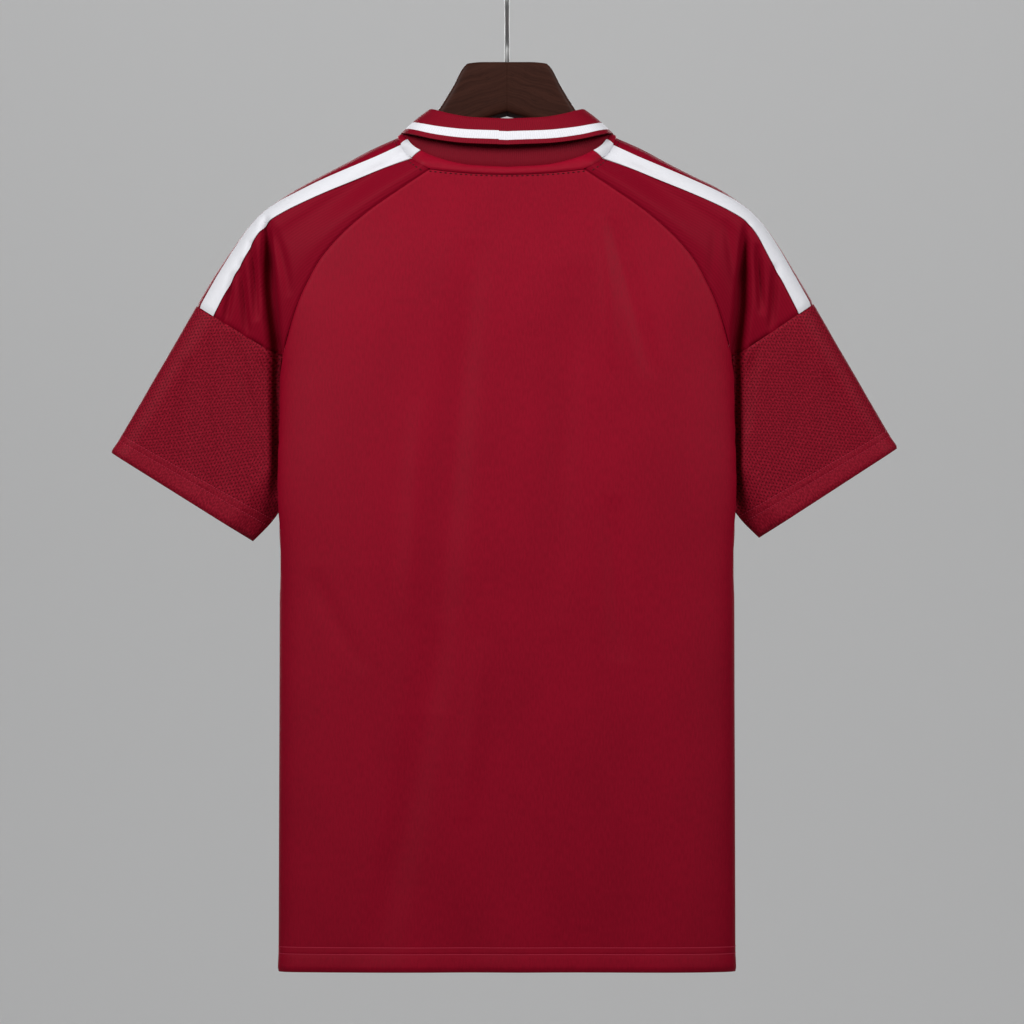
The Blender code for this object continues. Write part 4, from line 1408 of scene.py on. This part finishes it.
def collar_section(station):
    """The collar across: up from the neck seam, over its fold and down the leaf."""
    seam, fold, edge = (neck_point(name, station) for name in ("seam", "fold", "edge"))
    up = unit(fold - (seam + edge) / 2)
    out = unit(np.cross(neck_tangent("fold", station), up))
    centre = fold - up * FOLD_RADIUS
    rise = unit(centre - out * FOLD_RADIUS - seam)
    seam = seam + rise * COLLAR_GAP - out * COLLAR_WALL / 2
    tucked = seam - rise * COLLAR_TUCK[0] - out * COLLAR_TUCK[1]
    stand_top, leaf_top = centre - out * FOLD_RADIUS, centre + out * FOLD_RADIUS
    share = np.linspace(0, 1, STAND_POINTS)[:-1, None]
    stand = seam + (stand_top - seam) * share
    turn = np.linspace(0, math.pi, FOLD_POINTS)[:, None]
    roll = centre - out * np.cos(turn) * FOLD_RADIUS + up * np.sin(turn) * FOLD_RADIUS
    share = np.linspace(0, 1, LEAF_POINTS)[1:, None]
    leaf = leaf_top + (edge - leaf_top) * share
    wave = LEAF_WAVE * math.sin(station * WAVE_TURN[0] + WAVE_TURN[1]) * share**2
    leaf = leaf + out * (LEAF_BELLY * np.sin(math.pi * share) + wave)
    return np.concatenate([tucked[None], stand, roll, leaf])


half = np.array([collar_section(station) for station in STATIONS])
whole = np.concatenate([half[:0:-1] * (-1, 1, 1), half])
across, along = cut_map(whole, 0)
to_edge = across[:, -1:] - across
collar_finish = collar_knit(along[-1, 0] / 2 - JOIN_ASIDE)
cut = (along, to_edge)
collar = cloth("collar_knit", whole, cut, COLLAR_WALL, collar_finish, False, offset=0.0)
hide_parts("collar")

# %% [markdown]
# ## Placket and buttons
#
# The opening at the front is finished with a band, topstitched all round. It
# lies on the front panel, so it is made from the panel's own form, moved out.
# Three buttons close it, each over a buttonhole worked in thread.

# %% Placket band
PLACKET_HALF_WIDTH = 14 * MM
PLACKET_LENGTH = 135 * MM
PLACKET_START = 2 * MM  # below the neckline
PLACKET_WALL = 1.1 * MM
PLACKET_ROWS, PLACKET_COLUMNS = 91, 29
TOPSTITCH = 2 * MM  # from the band's edge
DITCH = (0.28 * MM, 0.7 * MM)  # how deep the topstitch pulls, and half how wide
ROUNDING = (0.3 * MM, 0.8 * MM)  # how far the edge turns in, and from where


def placket_form(drop, across):
    """The front panel's form along one row of the band."""
    wide, deep = ring(drop, FRONT)
    depth = np.interp(np.abs(across), wide, deep) + forward(across)
    return np.stack([across, depth, np.full(len(across), -drop)], axis=1)


placket_top = RIBS["front_drop"][0] + RIBS["front_dip"][0] + PLACKET_START
drops = np.linspace(placket_top, placket_top + PLACKET_LENGTH, PLACKET_ROWS)
places = np.linspace(-PLACKET_HALF_WIDTH, PLACKET_HALF_WIDTH, PLACKET_COLUMNS)
band_form = np.array([placket_form(drop, places) for drop in drops])
to_side = np.broadcast_to(PLACKET_HALF_WIDTH - np.abs(places), (PLACKET_ROWS, PLACKET_COLUMNS))
to_edge = np.minimum(to_side, (drops[-1] - drops)[:, None])
ditch = DITCH[0] * np.exp(-(((to_edge - TOPSTITCH) / DITCH[1]) ** 2))
rounding = ROUNDING[0] * np.exp(-((to_edge / ROUNDING[1]) ** 2))
band_grid = moved_out(band_form, 1.5 * LAID_GAP - ditch - rounding, -1)
cut = cut_map(band_grid, PLACKET_COLUMNS // 2)
band = cloth("placket_band_knit", band_grid, cut, PLACKET_WALL, body_finish, False, offset=1.0)
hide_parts("placket_band")
band_face = moved_out(band_grid, PLACKET_WALL, -1)

# %% Buttons
BUTTON_RADIUS = 5.6 * MM
BUTTON_THICK = 2.2 * MM
BUTTON_RIM = 1.3 * MM
BUTTON_DISH = 0.7 * MM
BUTTON_ROUNDING = 0.22 * MM
BUTTON_HOLES = 1.25 * MM  # from the middle, across and up
HOLE_RADIUS = 0.75 * MM
FIRST_BUTTON = 16 * MM  # from the top of the band
BUTTON_PITCH = 44 * MM
BUTTON_SEAT = 0.4 * MM

select()
bpy.ops.mesh.primitive_cylinder_add(
    vertices=48, radius=BUTTON_RADIUS, depth=BUTTON_THICK, location=(0, 0, BUTTON_THICK / 2)
)
button = named("button_pattern")
apply_place(button)
edit_top(button)
bpy.ops.mesh.inset(thickness=BUTTON_RIM)
bpy.ops.mesh.inset(thickness=BUTTON_DISH)
bpy.ops.transform.translate(value=(0, 0, -BUTTON_DISH))
bpy.ops.object.mode_set(mode="OBJECT")
drills = []
for x in (-1, 1):
    for y in (-1, 1):
        select()
        bpy.ops.mesh.primitive_cylinder_add(
            vertices=20,
            radius=HOLE_RADIUS,
            depth=6 * BUTTON_THICK,
            location=(x * BUTTON_HOLES, y * BUTTON_HOLES, 0),
        )
        drills.append(named("drill"))
select(*drills)
bpy.ops.object.join()
drill = bpy.context.active_object
apply_place(drill)
holes = button.modifiers.new("holes", "BOOLEAN")
holes.operation = "DIFFERENCE"
holes.object = drill
round_edges(button, BUTTON_ROUNDING, 3)
bpy.data.objects.remove(drill)
select(button)
shade_smooth(35)
button.data.materials.append(button_finish)


def copy_of(piece, name, place):
    """A copy with its own mesh, turned to face the front and set at its place."""
    select(piece)
    bpy.ops.object.duplicate(linked=False)
    made = named(name)
    made.rotation_euler = (-math.pi / 2, 0, 0)
    made.location = place
    apply_place(made)
    return made


button_drops = placket_top + FIRST_BUTTON + BUTTON_PITCH * np.arange(3)
middle = band_face[:, PLACKET_COLUMNS // 2]
seats = [
    Vector((0, float(np.interp(drop, drops, middle[:, 1])) + BUTTON_SEAT, -drop))
    for drop in button_drops
]
for number, seat in enumerate(seats, 1):
    made = copy_of(button, f"button_{number}_resin", seat)
    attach(made, "root")
    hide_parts(f"button_{number}")
print("a button:", len(button.data.polygons), "faces")

# %% [markdown]
# ## Stitches
#
# A stitch is a short bead of thread. One is modelled, an Array repeats it at
# the length of a stitch, and a Curve modifier bends the row along its line, so
# the stitches lie in the ditch that the needle pulls into the cloth.

# %% A row of stitches
STITCH = 2.6 * MM
STITCH_SHARE = 0.72  # of each stitch's length that shows
THREAD_RADIUS = 0.34 * MM
LINE_STEP = 1.5 * MM  # between the points of the line that bends a row
STITCH_PROUD = 0.1 * MM  # from the cloth to the middle of a hem's stitches


def line_curve(points):
    """A curve object along a path, from Blender's own path with its points moved."""
    select()
    bpy.ops.curve.primitive_nurbs_path_add()
    line = bpy.context.active_object
    splines = line.data.splines
    splines.remove(splines[0])
    spline = splines.new("POLY")
    spline.points.add(len(points) - 1)
    spline.points.foreach_set("co", np.c_[points, np.ones(len(points))].ravel())
    return line


def stitch_row(path, pitch, radius, share):
    """Beads of thread along a path."""
    total = lengths(path)[-1]
    count = max(int(total / pitch), 1)
    path = points_at(path, np.linspace(0, total, max(int(total / LINE_STEP), 8)))
    line = line_curve(path)
    select()
    bpy.ops.mesh.primitive_uv_sphere_add(segments=6, ring_count=4, radius=1)
    row = named("stitches")
    row.rotation_euler = (0, math.pi / 2, 0)
    apply_place(row)
    row.scale = (pitch * share / 2, radius, radius)
    row.location = ((total - (count - 1) * pitch) / 2, 0, 0)
    apply_place(row)
    repeat = row.modifiers.new("repeat", "ARRAY")
    repeat.count = count
    repeat.use_relative_offset = False
    repeat.use_constant_offset = True
    repeat.constant_offset_displace = (pitch, 0, 0)
    bend = row.modifiers.new("bend", "CURVE")
    bend.object = line
    apply_modifiers(row)
    bpy.data.objects.remove(line)
    return row


def stitching(name, paths, finish, pitch=STITCH, radius=THREAD_RADIUS, share=STITCH_SHARE):
    """All the rows of one seam as one piece."""
    rows = [stitch_row(path, pitch, radius, share) for path in paths]
    select(*rows)
    if len(rows) > 1:
        bpy.ops.object.join()
    piece = named(name)
    bpy.ops.object.shade_smooth()
    piece.data.materials.clear()
    piece.data.materials.append(finish)
    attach(piece, "root")
    print(f"{name}: {len(piece.data.polygons)} faces")
    return piece


def row_at(grid, up, mark, sign):
    """The row of a hem that lies a mark above its edge, just proud of the cloth."""
    k = int(np.argmin(np.abs(up - mark))) + len(grid) - len(up)
    return moved_out(grid, STITCH_PROUD, sign)[k]


# %% Stitches of the hems, neck and placket
# Large, close, near-black stitches: partly the real dark thread, partly painted shade under the
# binding's roll.
NECK_STITCH_AND_SHADE = (4.6 * MM, 0.75 * MM, 0.66)  # length, radius and the share that shows
NECK_ROW = 6  # of a grid, counted from its neck allowance
NECK_SUNK = 0.3 * MM
BOX_ROWS = 11  # of the placket band, in the stitched box at its lower end

for face, name in FACES.items():
    grid, up = panels[face]["grid"], panels[face]["up"]
    rows = [row_at(grid, up, mark, -face)[2:-2] for mark in HEM_LINES]
    stitching(f"hem_stitches_{name}", rows, threads["red"])
for side, sign in SIDES.items():
    grid, up = lowers[side]["grid"], lowers[side]["up"]
    rows = [row_at(grid, up, mark, sign)[1:-1] for mark in HEM_LINES]
    stitching(f"cuff_stitches_{side}", rows, threads["cuff"])

around = [(panels[face]["grid"], -face) for face in FACES]
around += [(uppers[side]["grid"], sign) for side, sign in SIDES.items()]
rows = [moved_out(grid, -NECK_SUNK, sign)[NECK_ROW, 1:-1] for grid, sign in around]
neck_stitches_and_shade = stitching("neck_stitches_and_shade", rows, threads["dark"], *NECK_STITCH_AND_SHADE)

inset = int(round(TOPSTITCH / (2 * PLACKET_HALF_WIDTH) * (PLACKET_COLUMNS - 1)))
last = int(np.argmin(np.abs(drops[-1] - drops - TOPSTITCH)))
box_line = np.concatenate(
    [
        band_face[1:last, inset],
        band_face[last, inset : -inset - 1],
        band_face[1 : last + 1, -inset - 1][::-1],
    ]
)
rows = [box_line, band_face[last - BOX_ROWS, inset : PLACKET_COLUMNS - inset]]
placket_stitches = stitching("placket_stitches", rows, threads["red"])

# %% Buttonholes and the thread of the buttons
HOLE_HALF_LENGTH = 7.6 * MM
HOLE_HALF_WIDTH = 0.75 * MM
HOLE_POWER = 0.4  # 1 is an ellipse, less is squarer
HOLE_STITCH = (0.62 * MM, 0.26 * MM)  # length and radius
BUTTON_THREAD = (2.6 * MM, 0.2 * MM)
THREAD_ASIDE = 0.22 * MM  # each way from the middle of a hole
THREAD_ARCH = (0.35 * MM, 0.9 * MM)  # how high it stands, and how far it dips at its ends
THREAD_POINTS = 9

turn = np.linspace(0, 2 * math.pi, 49)
rows = []
for seat in seats:
    x = HOLE_HALF_WIDTH * np.sign(np.cos(turn)) * np.abs(np.cos(turn)) ** HOLE_POWER
    z = seat.z + HOLE_HALF_LENGTH * np.sin(turn)
    y = np.interp(-z, drops, middle[:, 1]) + 0.05 * MM
    rows.append(np.stack([x, y, z], axis=1))
buttonholes = stitching("buttonholes", rows, threads["red"], *HOLE_STITCH)

rows = []
for seat in seats:
    top = seat.y + BUTTON_THICK - BUTTON_DISH + THREAD_ARCH[0]
    rise = np.linspace(-1, 1, THREAD_POINTS)
    y, z = top - THREAD_ARCH[1] * rise**4, seat.z + rise * BUTTON_HOLES
    for x in (-BUTTON_HOLES, BUTTON_HOLES):
        for aside in (-THREAD_ASIDE, THREAD_ASIDE):
            rows.append(np.stack([np.full(THREAD_POINTS, x + aside), y, z], axis=1))
stitching("button_threads", rows, threads["red"], *BUTTON_THREAD)
bpy.data.objects.remove(button)

# %% [markdown]
# ## Hanger
#
# The hanger is turned from hardwood in two arms that are glued at the middle,
# where a fine joint line shows. Each arm is broad at the shoulder and thin at
# the neck. The hook is drawn wire, bent over a former and screwed in.

# %% The wood
WOOD = columns(
    "x top bottom depth square",
    (0, 74, 118, 8, 6),
    (21, 74, 125, 8.2, 6),
    (35, 75.2, 133, 8.6, 6),
    (39.5, 79, 136, 8.8, 6),
    (48.6, 95.6, 142, 9.2, 5),
    (62.6, 118, 152, 9.6, 4),
    (72, 130, 158.5, 9.8, 3.5),
    (83, 142, 165.5, 9.5, 3),
    (98, 151, 174, 9, 2.5),
    (121.5, 157, 186, 12, 2),
    (145, 169.5, 197.5, 14.5, 2),
    (168.3, 181.5, 208.5, 16.5, 2),
    (190, 193.5, 218.5, 17, 2),
    (208, 204, 226, 15, 2),
    (216, 210.5, 227.5, 11.5, 2),
    (220, 216, 225, 7, 2),
)
WOOD_SIDES = 64
WOOD_STEP = 2.2 * MM
JOINT_HALF_WIDTH = 0.35 * MM
JOINT_DEPTH = 0.3 * MM
END_BULGE = 1.2 * MM  # how far the end of an arm bulges, over sections of these shares
END_SHARES = (0.85, 0.6, 0.3, 0.0)
NOTCH_SLANT = (6 * MM, 70 * MM)  # how far the notch runs down to the front, and its reach


def wood_section(x, shrink=0.0, share=1.0):
    """The wood across at one place, as a rounded section, shrunk all round."""
    row = {k: smooth(abs(x), WOOD["x"], WOOD[k]) for k in WOOD}
    power = 2 * MM / row["square"]
    turn = np.linspace(0, 2 * math.pi, WOOD_SIDES + 1)
    half_height = ((row["bottom"] - row["top"]) / 2 - shrink) * share
    half_depth = (row["depth"] - shrink) * share
    middle = (row["bottom"] + row["top"]) / 2
    y = half_depth * np.sign(np.cos(turn)) * np.abs(np.cos(turn)) ** power
    z = -middle + half_height * np.sign(np.sin(turn)) * np.abs(np.sin(turn)) ** power
    if share:
        slant = NOTCH_SLANT[0] * max(1 - abs(x) / NOTCH_SLANT[1], 0) * share
        lower_half = np.clip((z + middle) / half_height, -1, 0)
        z = z + slant * (y / half_depth + 1) / 2 * lower_half
    return np.stack([np.full(len(turn), x), forward(x) + y, z], axis=1)


span = WOOD["x"][-1]
places = np.arange(2 * JOINT_HALF_WIDTH, span, WOOD_STEP)
places = np.concatenate([places[places < span - 1 * MM], [span]])
arm = [wood_section(x) for x in [JOINT_HALF_WIDTH, *places]]
for share in END_SHARES:
    end = wood_section(span, share=share)
    end[:, 0] += END_BULGE * (1 - share**2)
    arm.append(end)
arm = np.array(arm)
joint = wood_section(0, JOINT_DEPTH)[None]
wood_grid = np.concatenate([arm[::-1] * (-1, 1, 1), joint, arm])
hanger = surface("hanger_wood", wood_grid, cut_map(wood_grid, 0), False, joined=True)
shade_smooth(40)
hanger.data.materials.append(wood_finish)
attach(hanger, "root")
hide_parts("hanger")
print("hanger:", len(hanger.data.polygons), "faces")

# %% The hook
WIRE_RADIUS = 2 * MM
WIRE_ROUNDING = 0.9 * MM  # at both ends
HOOK_RADIUS = 18 * MM  # inside of the hook's arc
HOOK_TURN = (-20, 215)  # degrees, from the tip of the hook to where its arc ends
STEM_DROP = 62 * MM  # where the wire is straight from
STEM_BEND = 12 * MM
HANGER_TOP = 74 * MM

reach = HOOK_RADIUS + WIRE_RADIUS
turn = np.radians(np.linspace(*HOOK_TURN, 64))
arc = np.stack([reach * np.cos(turn), reach * np.sin(turn) - HOOK_RADIUS], axis=1)
foot = np.array([0, -STEM_DROP])
heading = np.array([-math.sin(turn[-1]), math.cos(turn[-1])])
bend_from, bend_to = arc[-1] + heading * STEM_BEND, foot + (0, STEM_BEND)
t = np.linspace(0, 1, 25)[1:, None]
sweep = (1 - t) ** 3 * arc[-1] + 3 * t * (1 - t) ** 2 * bend_from
sweep = sweep + 3 * t**2 * (1 - t) * bend_to + t**3 * foot
route = np.concatenate([arc, sweep, [(0, -HANGER_TOP + SEAM_GAP)]])
wire = line_curve(np.c_[np.zeros(len(route)), route]).data
wire.bevel_depth = WIRE_RADIUS
wire.bevel_resolution = 6
wire.use_fill_caps = True
bpy.ops.object.convert(target="MESH")
hook = named("hook_wire")
bpy.ops.object.mode_set(mode="EDIT")
bpy.ops.mesh.select_all(action="SELECT")
bpy.ops.mesh.remove_doubles(threshold=0.01 * MM)
bpy.ops.mesh.normals_make_consistent(inside=False)
bpy.ops.object.mode_set(mode="OBJECT")
round_edges(hook, WIRE_ROUNDING, 4, 60)
apply_place(hook)
shade_smooth(50)
hook.data.materials.clear()
hook.data.materials.append(wire_finish)
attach(hook, "root")
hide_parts("hanger_hook")
print("hook:", len(hook.data.polygons), "faces")

# %% [markdown]
# ## The cuts
#
# The flat cut of each sheet is worked out on its plain form, before the folds
# were pressed in, because a fold takes no cloth away.

# %% Work out the cuts
for face in FACES:
    declare(panels[face]["plain"])
for side in SIDES:
    declare(uppers[side]["plain"])
    declare(lowers[side]["plain"])
    declare(tapes[side]["grid"])
declare(whole)
declare(band_form)

# %% Size, and the end
size = {"technical": cad_box, "finished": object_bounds()}
size = {name: [[float(v) for v in corner] for corner in box] for name, box in size.items()}
print("finished box:", size["finished"])
